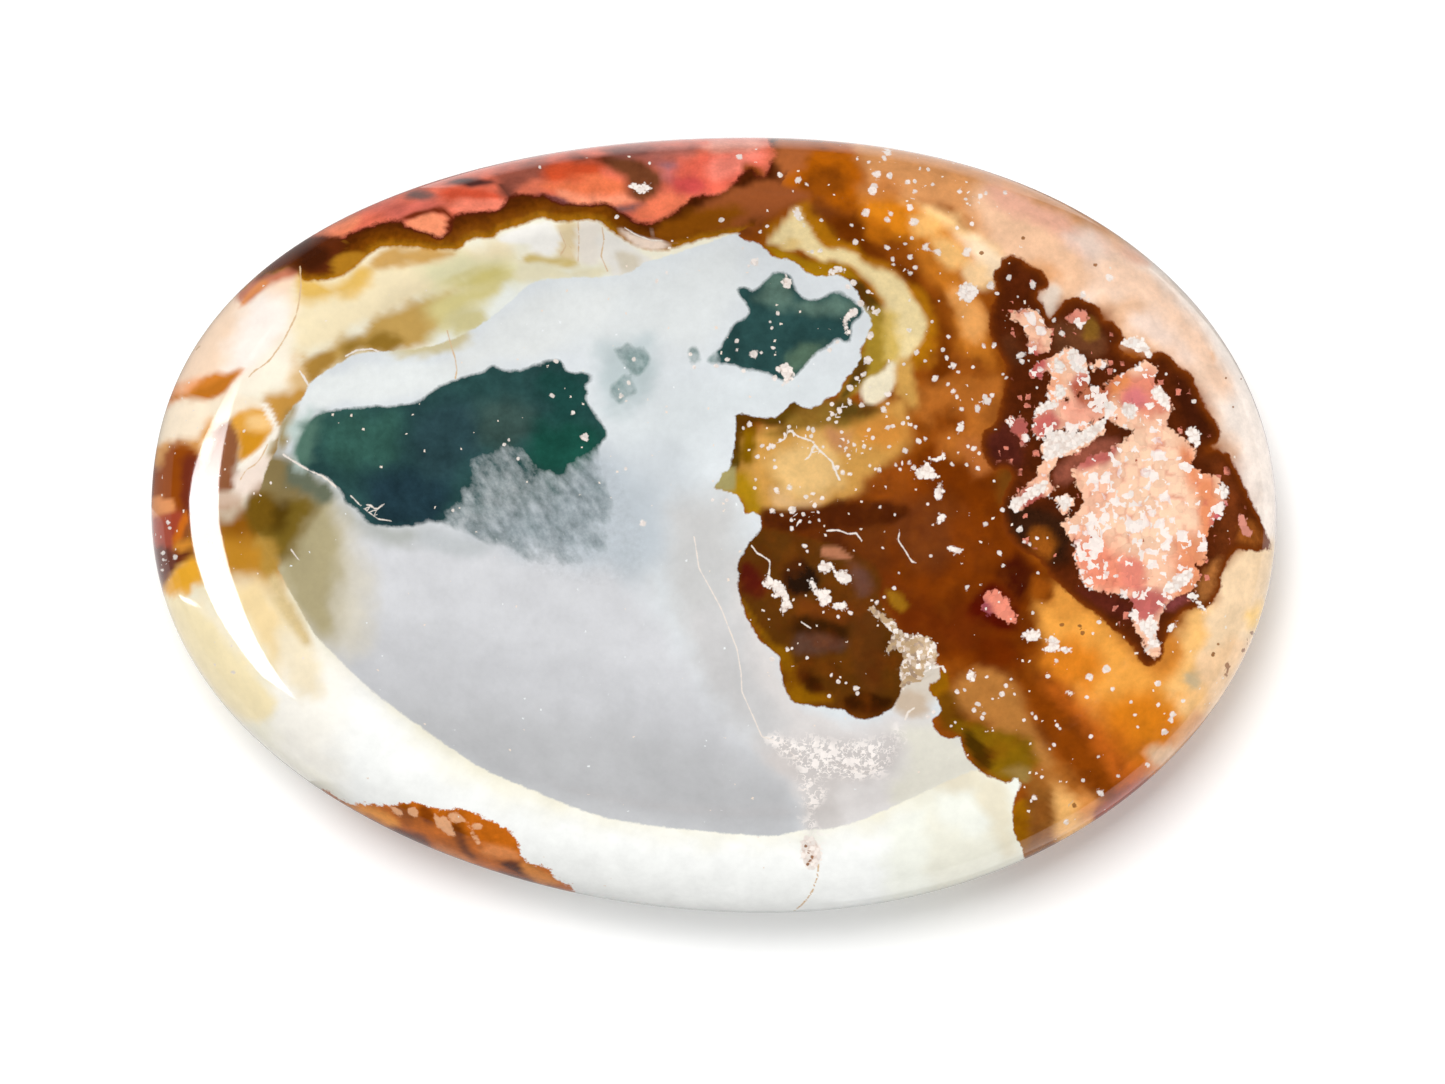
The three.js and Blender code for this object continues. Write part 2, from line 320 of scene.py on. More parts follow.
# chalky white crystals
places["white"] = [
    [(1046, 434), (1060, 430), (1078, 432), (1104, 419), (1103, 431), (1090, 441), (1074, 450), (1046, 461),
     (1043, 450)],
    [(1010, 508), (1012, 498), (1024, 493), (1034, 485), (1046, 480), (1048, 488), (1040, 495), (1028, 501),
     (1020, 509)],
    [(1057, 500), (1064, 495), (1072, 499), (1070, 507), (1062, 511)],
    [(1131, 619), (1140, 621), (1150, 617), (1157, 622), (1157, 636), (1162, 648), (1152, 650), (1147, 655),
     (1143, 648), (1150, 640), (1143, 634), (1138, 625)],
    [(1163, 592), (1168, 582), (1188, 568), (1194, 576), (1178, 592)],
    [(1190, 592), (1198, 596), (1208, 616), (1201, 611), (1194, 600), (1186, 599)],
    [(1165, 632), (1169, 625), (1178, 621), (1175, 628), (1169, 633)],
    [(1118, 344), (1134, 336), (1140, 338), (1145, 335), (1144, 341), (1150, 348), (1154, 356), (1148, 358),
     (1141, 352), (1137, 354), (1133, 349)],
    [(1150, 391), (1157, 386), (1165, 390), (1171, 407), (1165, 411), (1160, 403), (1154, 400)],
    [(1185, 432), (1192, 426), (1199, 432), (1201, 439), (1197, 448), (1190, 441)],
    [(1220, 482), (1225, 484), (1229, 493), (1226, 500), (1220, 496)],
    [(1034, 413), (1040, 404), (1050, 401), (1060, 402), (1056, 409), (1046, 411), (1040, 415)],
    [(1053, 362), (1057, 357), (1063, 361), (1066, 369), (1061, 373), (1054, 370)],
    [(1067, 356), (1069, 350), (1075, 348), (1079, 353), (1076, 359), (1070, 361)],
    [(1070, 368), (1074, 362), (1087, 369), (1086, 374), (1078, 373)],
    [(1056, 385), (1062, 383), (1067, 391), (1063, 399), (1055, 399)],
    [(1120, 408), (1128, 401), (1136, 405), (1138, 413), (1130, 420), (1124, 417)],
    [(1104, 398), (1110, 402), (1110, 416), (1104, 420)],
    [(767, 573), (771, 578), (783, 584), (791, 600), (792, 610), (786, 611), (783, 616), (780, 606), (783, 600),
     (777, 597), (770, 599), (775, 591), (768, 587), (762, 586)],
    [(817, 567), (822, 560), (829, 562), (834, 567), (828, 572), (821, 573)],
    [(834, 568), (840, 572), (844, 568), (851, 576), (852, 582), (843, 584), (836, 580)],
    [(808, 580), (815, 581), (819, 590), (826, 588), (832, 596), (830, 604), (822, 607), (817, 600)],
    [(833, 603), (841, 602), (848, 604), (847, 609), (836, 610)],
    [(914, 478), (925, 462), (932, 467), (938, 478)],
    [(926, 458), (936, 457), (944, 452), (945, 458), (940, 462)],
    [(936, 486), (941, 482), (944, 490), (941, 499), (936, 500), (934, 494)],
    [(956, 431), (958, 425), (962, 421), (964, 427), (960, 434)],
    [(947, 548), (955, 546), (963, 550), (960, 555), (952, 553)],
    [(936, 523), (940, 513), (946, 513), (944, 519), (939, 524)],
    [(829, 273), (832, 268), (840, 266), (845, 269), (842, 273), (836, 272), (832, 276)],
    [(793, 213), (795, 206), (799, 206), (804, 226)],
    [(842, 320), (846, 312), (852, 308), (858, 310), (856, 316), (850, 319), (847, 325), (851, 333), (849, 336),
     (845, 331)],
    [(775, 368), (780, 364), (787, 363), (793, 370), (794, 376), (789, 383), (782, 386), (784, 377)],
    [(782, 280), (786, 275), (791, 279), (792, 285), (787, 290), (783, 285)],
    [(958, 288), (962, 283), (969, 282), (976, 286), (979, 293), (972, 301), (966, 304), (958, 296)],
    [(1022, 635), (1029, 630), (1037, 629), (1041, 635), (1037, 641), (1028, 642)],
    [(1042, 650), (1047, 645), (1047, 638), (1054, 636), (1059, 641), (1059, 648), (1052, 653)],
    [(1060, 648), (1066, 645), (1072, 649), (1067, 654), (1062, 652)],
    [(803, 838), (810, 835), (818, 842), (822, 853), (818, 866), (810, 871), (803, 862), (800, 850)],
    [(628, 186), (634, 182), (641, 186), (648, 182), (651, 188), (644, 193), (636, 192)],
    [(966, 673), (973, 671), (976, 676), (973, 682), (968, 680)],
]
# rust red on the south rim, and its paler flakes
places["rust"] = [
    [(325, 790), (348, 803), (400, 804), (415, 802), (441, 811), (451, 809), (463, 809), (492, 820), (500, 827),
     (507, 828), (519, 846), (522, 855), (528, 864), (539, 865), (549, 869), (556, 879), (574, 888), (560, 900),
     (500, 930), (350, 860), (320, 800)],
]
places["rustFlake"] = [
    [(390, 808), (398, 808), (403, 814), (400, 817)],
    [(407, 810), (413, 806), (418, 812), (417, 818), (411, 815)],
    [(433, 814), (440, 818), (447, 817), (456, 837), (440, 829)],
    [(447, 814), (455, 812), (466, 820), (458, 823), (450, 819)],
    [(470, 826), (477, 823), (484, 826), (479, 830), (472, 829)],
    [(470, 833), (474, 831), (478, 837), (480, 845), (475, 842)],
]
# a web of fine crystals
places["web"] = [
    [(758, 737), (772, 734), (786, 736), (800, 741), (812, 738), (832, 742), (842, 740), (864, 742), (880, 737),
     (892, 738), (900, 733), (892, 757), (895, 768), (862, 776), (845, 776), (812, 781), (800, 781), (795, 768),
     (786, 752)],
    [(803, 775), (815, 776), (818, 800), (822, 838), (822, 858), (815, 872), (805, 866), (801, 845), (806, 830)],
]
# the pits' own crystals
places["crust"] = [
    [(882, 612), (888, 618), (897, 622), (902, 632), (925, 636), (934, 642), (938, 652), (937, 662), (926, 668),
     (921, 682), (908, 684), (901, 690), (900, 670), (903, 655), (892, 650), (886, 658), (887, 645), (892, 634),
     (870, 612), (872, 606)],
]

# Soft tints laid over each other: colour, how far its edge fades in pixels, outline
tints = {}
tints["outerTint"] = [
    ((242, 237, 216), 1, []),
    # the north-west rim
    ((248, 218, 190), 14, [(120, 440), (140, 330), (240, 230), (301, 262), (299, 300), (286, 334), (190, 445)]),
    ((251, 240, 230), 14, [(250, 300), (292, 300), (285, 335), (255, 372), (225, 372)]),
    ((200, 122, 92), 5, [(238, 292), (262, 266), (302, 268), (300, 276), (278, 281), (262, 288), (246, 301)]),
    ((222, 140, 80), 2.5, [(241, 302), (250, 290), (262, 280), (266, 284), (244, 304)]),
    ((240, 224, 186), 10, [(301, 285), (330, 280), (362, 266), (382, 250), (440, 252), (500, 245), (515, 262),
        (480, 285), (440, 292), (400, 308), (306, 355), (290, 350), (286, 338), (297, 312)]),
    ((226, 184, 96), 8, [(300, 278), (330, 282), (348, 275), (362, 264), (372, 272), (350, 296), (320, 300),
        (300, 298)]),
    ((228, 222, 180), 12, [(420, 262), (470, 258), (515, 262), (540, 275), (500, 292), (440, 290)]),
    ((206, 192, 118), 9, [(455, 285), (475, 272), (495, 265), (512, 270), (500, 282), (475, 292)]),
    ((204, 160, 92), 6, [(378, 250), (400, 247), (440, 248), (450, 258), (376, 268)]),
    # the olive wedge
    ((198, 160, 88), 8, [(302, 354), (306, 362), (318, 357), (342, 339), (358, 333), (370, 322), (410, 303),
        (448, 290), (452, 300), (448, 318), (435, 335), (410, 350), (360, 353), (330, 369), (309, 386), (300, 366)]),
    ((172, 130, 58), 4, [(303, 362), (328, 351), (336, 352), (330, 366), (308, 381)]),
    ((150, 114, 42), 7, [(340, 345), (360, 338), (390, 334), (405, 342), (390, 349), (360, 351), (345, 357)]),
    ((214, 202, 140), 13, [(430, 298), (450, 288), (500, 280), (512, 290), (500, 310), (445, 338), (432, 335)]),
    ((234, 237, 230), 11, [(436, 336), (530, 276), (560, 268), (610, 270), (600, 285), (540, 300), (500, 330),
        (450, 350)]),
    # tan and cream between the wedge and the left rim
    ((222, 186, 132), 7, [(288, 352), (302, 356), (306, 386), (300, 396), (288, 392), (284, 372)]),
    ((196, 144, 66), 6, [(268, 392), (300, 390), (308, 392), (278, 430), (268, 408), (262, 404)]),
    ((154, 124, 72), 7, [(278, 430), (290, 410), (280, 445), (284, 456), (300, 468), (300, 486), (268, 486),
        (267, 460)]),
    ((248, 238, 218), 12, [(236, 380), (262, 366), (285, 342), (292, 340), (290, 378), (280, 388), (240, 400)]),
    # the left rim, from top to bottom
    ((246, 168, 112), 6, [(140, 410), (176, 386), (212, 377), (198, 390), (180, 400)]),
    ((212, 128, 46), 4, [(150, 404), (178, 399), (196, 403), (208, 400), (236, 379), (243, 370), (228, 371),
        (210, 376), (188, 392), (160, 397)]),
    ((192, 114, 34), 4, [(186, 401), (202, 388), (236, 374), (226, 390), (214, 400), (200, 405)]),
    ((250, 232, 206), 5, [(140, 450), (172, 404), (214, 402), (214, 412), (196, 444), (160, 452)]),
    ((226, 165, 95), 6, [(140, 462), (160, 446), (182, 442), (204, 430), (212, 412), (216, 412), (196, 460),
        (150, 468)]),
    ((140, 76, 40), 6, [(120, 490), (196, 490), (202, 520), (196, 560), (176, 572), (160, 600), (120, 600)]),
    ((150, 72, 14), 8, [(120, 470), (156, 462), (170, 446), (196, 448), (204, 470), (196, 510), (120, 508)]),
    ((116, 46, 26), 5, [(182, 462), (200, 458), (196, 508), (184, 508)]),
    ((228, 150, 92), 3, [(120, 500), (160, 498), (174, 502), (176, 514), (168, 520), (120, 520)]),
    ((170, 72, 48), 4, [(120, 518), (166, 516), (180, 512), (182, 524), (170, 550), (120, 545)]),
    ((205, 108, 28), 2.5, [(172, 540), (184, 514), (188, 520), (184, 532), (178, 542)]),
    ((216, 142, 52), 3, [(174, 548), (182, 541), (193, 538), (196, 548), (184, 552)]),
    ((104, 46, 26), 3, [(120, 548), (164, 546), (176, 554), (194, 548), (194, 556), (180, 564), (150, 600),
        (120, 580)]),
    ((238, 172, 50), 4, [(160, 590), (182, 564), (196, 556), (202, 574), (202, 582), (192, 584), (190, 594),
        (176, 600), (160, 602)]),
    ((252, 240, 212), 12, [(140, 614), (196, 600), (212, 610), (240, 640), (262, 690), (262, 710), (240, 720),
        (200, 690), (150, 640)]),
    # between the highlight and the hollow
    ((142, 88, 56), 6, [(216, 426), (231, 420), (238, 426), (240, 448), (237, 466), (240, 478), (236, 492), (222, 494),
        (200, 490)]),
    ((242, 226, 200), 5, [(210, 402), (236, 396), (262, 402), (268, 410), (262, 416), (215, 418)]),
    ((224, 160, 62), 4, [(232, 417), (262, 408), (270, 418), (272, 432), (249, 460), (242, 462), (238, 454),
        (241, 440)]),
    ((206, 140, 30), 4, [(240, 436), (256, 432), (264, 440), (244, 458), (240, 450)]),
    ((240, 196, 130), 5, [(246, 418), (262, 412), (270, 422), (262, 430), (250, 430)]),
    ((246, 238, 224), 2, [(262, 404), (270, 409), (279, 428), (276, 438), (268, 442), (265, 452), (244, 470),
        (238, 466), (256, 452), (272, 434), (271, 422)]),
    ((238, 220, 206), 5, [(240, 472), (264, 456), (268, 470), (264, 486), (254, 496), (240, 496), (234, 484)]),
    ((208, 180, 158), 5, [(200, 494), (240, 496), (244, 504), (232, 510), (200, 510)]),
    ((140, 84, 12), 14, [(200, 512), (232, 511), (264, 492), (274, 500), (274, 540), (268, 562), (200, 550)]),
    ((190, 132, 38), 16, [(200, 540), (262, 540), (284, 556), (288, 574), (270, 588), (236, 584), (205, 574)]),
    ((240, 214, 162), 18, [(205, 592), (262, 580), (282, 600), (296, 640), (300, 680), (286, 690), (262, 650),
        (230, 610)]),
    # the south rim
    ((250, 246, 236), 14, [(292, 640), (330, 652), (380, 700), (400, 740), (380, 800), (330, 790), (280, 750),
        (270, 700)]),
    ((250, 251, 248), 26, [(350, 690), (400, 720), (470, 780), (600, 820), (760, 838), (880, 822), (905, 830),
        (900, 950), (600, 980), (400, 880), (340, 800)]),
    ((240, 226, 196), 12, [(276, 636), (304, 638), (322, 664), (318, 696), (296, 690)]),
    ((246, 247, 236), 14, [(890, 830), (930, 796), (985, 770), (1030, 770), (1030, 900), (900, 950)]),
    ((242, 240, 224), 12, [(925, 800), (950, 830), (990, 830), (1020, 800), (1030, 900), (940, 910)]),
    ((228, 220, 198), 10, [(932, 776), (960, 764), (984, 774), (972, 790), (944, 796)]),
    ((236, 228, 204), 8, [(962, 768), (985, 772), (1005, 788), (1012, 820), (1006, 856)]),
    # blocks of cream below the red seam
    ((246, 243, 236), 3, [(497, 238), (545, 220), (554, 228), (560, 240), (557, 251), (546, 257), (531, 252),
        (526, 244), (510, 243)]),
    ((226, 206, 166), 3, [(556, 224), (575, 222), (576, 240), (574, 260), (562, 262), (558, 252), (562, 240)]),
    ((210, 186, 118), 4, [(530, 256), (574, 258), (572, 268), (528, 262)]),
    ((234, 226, 214), 3, [(577, 222), (596, 222), (602, 228), (600, 262), (580, 262)]),
    ((232, 228, 220), 4, [(604, 228), (650, 262), (630, 275), (604, 272)]),
    ((214, 204, 184), 4, [(618, 254), (638, 256), (640, 270), (624, 272)]),
    ((228, 220, 188), 6, [(520, 262), (560, 266), (602, 266), (604, 276), (560, 282), (520, 278)]),
    ((208, 198, 146), 8, [(450, 314), (480, 308), (488, 322), (470, 336), (452, 334)]),
    ((251, 234, 190), 7, [(158, 600), (192, 604), (228, 642), (264, 690), (276, 704), (262, 720), (240, 720),
        (190, 668)]),
]
tints["hollowTint"] = [
    ((221, 226, 229), 1, []),
    ((223, 227, 227), 22, [(540, 290), (640, 274), (735, 240), (742, 290), (705, 350), (640, 345), (590, 350)]),
    ((222, 228, 230), 30, [(600, 400), (700, 380), (840, 370), (860, 400), (730, 420), (710, 500), (740, 560),
        (690, 560), (620, 470)]),
    ((226, 229, 228), 12, [(440, 360), (480, 340), (520, 300), (620, 290), (560, 350), (490, 366), (440, 390)]),
    ((208, 196, 156), 7, [(380, 343), (420, 338), (462, 328), (470, 340), (440, 354), (400, 356)]),
    ((233, 237, 236), 9, [(290, 410), (330, 372), (416, 360), (460, 372), (440, 392), (330, 405), (290, 430)]),
    ((207, 213, 217), 24, [(600, 450), (680, 450), (700, 520), (640, 540), (600, 500)]),
    ((212, 213, 216), 26, [(290, 560), (330, 515), (380, 525), (450, 525), (520, 540), (580, 520), (620, 560),
        (680, 640), (760, 760), (800, 850), (700, 870), (560, 850), (400, 780), (300, 680), (250, 590)]),
    ((202, 203, 206), 26, [(360, 620), (460, 640), (600, 660), (700, 720), (760, 780), (790, 860), (700, 870),
        (560, 850), (400, 780), (330, 660)]),
    ((194, 195, 197), 26, [(400, 700), (740, 750), (800, 790), (790, 860), (700, 870), (560, 840), (430, 790)]),
    ((222, 218, 216), 10, [(744, 560), (770, 640), (800, 700), (865, 728), (905, 700), (938, 720), (962, 745),
        (985, 785), (880, 840), (815, 850), (800, 800), (762, 730), (724, 590)]),
    ((214, 204, 190), 8, [(896, 640), (940, 650), (946, 690), (925, 704), (900, 700), (890, 670)]),
    ((202, 202, 201), 24, [(664, 510), (700, 495), (732, 492), (742, 540), (738, 600), (722, 650), (690, 636),
        (668, 590)]),
    ((204, 184, 162), 6, [(893, 694), (905, 690), (925, 696), (930, 712), (912, 718), (896, 708)]),
    ((226, 223, 210), 12, [(898, 730), (935, 724), (960, 738), (985, 770), (940, 800), (890, 800), (905, 760)]),
    ((178, 181, 177), 13, [(330, 498), (372, 520), (430, 532), (400, 544), (370, 536), (340, 520)]),
    # olive and beige by the left rim
    ((214, 208, 192), 20, [(250, 480), (300, 480), (345, 520), (370, 580), (360, 650), (320, 640), (280, 600),
        (255, 550)]),
    ((180, 168, 130), 18, [(258, 500), (296, 484), (328, 494), (342, 530), (338, 590), (328, 640), (300, 620),
        (270, 570)]),
    ((122, 98, 34), 13, [(240, 490), (262, 484), (292, 484), (314, 500), (296, 545), (284, 562), (262, 556),
        (245, 530)]),
    ((88, 64, 14), 8, [(262, 498), (284, 494), (292, 508), (282, 528), (264, 526)]),
    ((164, 144, 98), 6, [(276, 446), (280, 424), (288, 410), (298, 400), (296, 414), (288, 430), (284, 448)]),
    ((138, 120, 78), 9, [(255, 440), (278, 452), (320, 484), (302, 500), (258, 495)]),
    ((106, 112, 92), 8, [(284, 462), (300, 466), (338, 492), (322, 502), (300, 492), (286, 480)]),
    ((194, 210, 204), 7, [(288, 432), (300, 420), (314, 412), (306, 466), (296, 464)]),
    ((208, 203, 200), 9, [(808, 786), (832, 784), (842, 822), (830, 838), (808, 838)]),
    ((208, 202, 199), 12, [(755, 738), (860, 742), (898, 736), (892, 770), (805, 786)]),
    ((190, 198, 204), 22, [(590, 450), (635, 470), (660, 510), (664, 556), (620, 574), (500, 545), (470, 528),
        (540, 500)]),
    ((204, 203, 203), 18, [(690, 610), (740, 620), (754, 676), (782, 722), (760, 742), (720, 704), (696, 660)]),
    ((192, 196, 198), 11, [(424, 528), (450, 532), (484, 544), (472, 558), (440, 554), (420, 540)]),
    ((190, 202, 204), 14, [(604, 346), (650, 340), (656, 376), (640, 404), (606, 410), (600, 380)]),
]
tints["greenTint"] = [
    ((36, 64, 63), 1, []),
    ((44, 78, 70), 16, [(310, 425), (350, 412), (395, 415), (400, 450), (380, 470), (340, 465)]),
    ((28, 48, 56), 16, [(365, 480), (400, 468), (440, 470), (450, 500), (430, 525), (380, 525)]),
    ((36, 58, 62), 14, [(420, 410), (470, 400), (480, 450), (440, 480), (410, 460)]),
    ((22, 66, 56), 14, [(525, 430), (560, 420), (600, 425), (600, 450), (560, 480), (535, 465)]),
    ((24, 58, 54), 10, [(545, 370), (575, 378), (590, 400), (575, 420), (545, 410)]),
    ((50, 70, 66), 14, [(480, 405), (520, 400), (530, 430), (500, 450), (480, 440)]),
    ((76, 112, 96), 5, [(290, 436), (303, 430), (308, 446), (304, 462), (292, 456)]),
    ((78, 102, 92), 7, [(762, 288), (780, 276), (800, 300), (826, 302), (836, 293), (858, 306), (842, 316),
        (762, 305)]),
    ((70, 92, 76), 7, [(788, 356), (806, 342), (826, 344), (794, 374)]),
    ((70, 98, 94), 3, [(606, 338), (706, 338), (706, 404), (606, 404)]),
]
tints["redTint"] = [
    ((226, 112, 86), 1, []),
    ((236, 134, 96), 5, [(318, 224), (350, 214), (362, 220), (340, 238), (318, 238)]),
    ((214, 108, 92), 7, [(380, 205), (420, 198), (445, 205), (398, 220), (388, 218)]),
    ((124, 90, 84), 4, [(405, 196), (418, 190), (436, 192), (430, 200), (412, 200)]),
    ((242, 146, 106), 3, [(405, 222), (418, 214), (434, 212), (446, 218), (446, 230), (438, 239), (412, 229)]),
    ((110, 40, 16), 2.5, [(400, 220), (418, 211), (436, 207), (450, 211), (456, 222), (450, 236), (445, 230),
        (447, 219), (434, 213)]),
    ((212, 84, 56), 4, [(438, 194), (455, 188), (480, 190), (500, 196), (505, 200), (480, 198), (455, 200)]),
    ((238, 130, 104), 4, [(452, 202), (480, 199), (505, 202), (502, 210), (458, 213)]),
    ((84, 46, 42), 3, [(446, 184), (456, 178), (478, 178), (500, 182), (478, 186)]),
    ((152, 82, 66), 8, [(495, 175), (520, 162), (545, 160), (548, 180), (530, 194), (508, 192)]),
    ((112, 60, 48), 3, [(500, 183), (512, 188), (516, 196), (508, 200), (500, 192)]),
    ((214, 112, 84), 5, [(515, 190), (535, 180), (545, 186), (538, 194), (520, 196)]),
    ((206, 80, 44), 7, [(545, 166), (570, 158), (598, 162), (600, 178), (570, 182), (545, 178)]),
    ((232, 118, 76), 6, [(548, 182), (620, 178), (626, 196), (600, 202), (560, 196)]),
    ((244, 148, 112), 6, [(560, 192), (590, 196), (625, 194), (640, 202), (610, 205), (575, 204)]),
    ((136, 78, 76), 2.5, [(538, 195), (556, 196), (572, 203), (560, 206)]),
    ((108, 44, 24), 5, [(545, 164), (575, 154), (612, 158), (622, 166), (570, 160)]),
    ((140, 96, 92), 4, [(615, 208), (645, 201), (640, 208), (622, 213)]),
    ((112, 62, 36), 7, [(604, 160), (622, 154), (640, 160), (656, 170), (666, 182), (660, 192), (648, 202), (634, 200),
        (626, 190), (622, 178)]),
    # a greyish pink band along the north edge: the stone's red with a painted sheen
    ((176, 104, 92), 8, [(620, 148), (660, 142), (700, 144), (690, 158), (660, 160), (632, 156)]),
    ((128, 78, 70), 5, [(600, 150), (625, 146), (650, 150), (640, 158), (618, 156)]),
    ((158, 104, 108), 7, [(652, 160), (675, 164), (672, 182), (664, 176)]),
    ((232, 104, 82), 10, [(680, 160), (720, 150), (760, 152), (752, 172), (725, 192), (690, 194), (668, 186)]),
    ((204, 78, 74), 7, [(672, 182), (690, 176), (702, 182), (696, 194), (678, 194)]),
    ((246, 136, 116), 8, [(715, 160), (745, 150), (766, 156), (735, 176), (715, 178)]),
    ((240, 124, 88), 6, [(640, 206), (660, 196), (682, 196), (694, 200), (678, 212), (655, 222), (636, 220)]),
    # a pale pink band along the north edge: the stone's red with a painted sheen
    ((236, 158, 138), 5, [(700, 146), (740, 139), (768, 142), (760, 150), (720, 152)]),
    ((142, 70, 22), 4, [(742, 168), (750, 163), (758, 168), (764, 166), (762, 178), (748, 176)]),
]
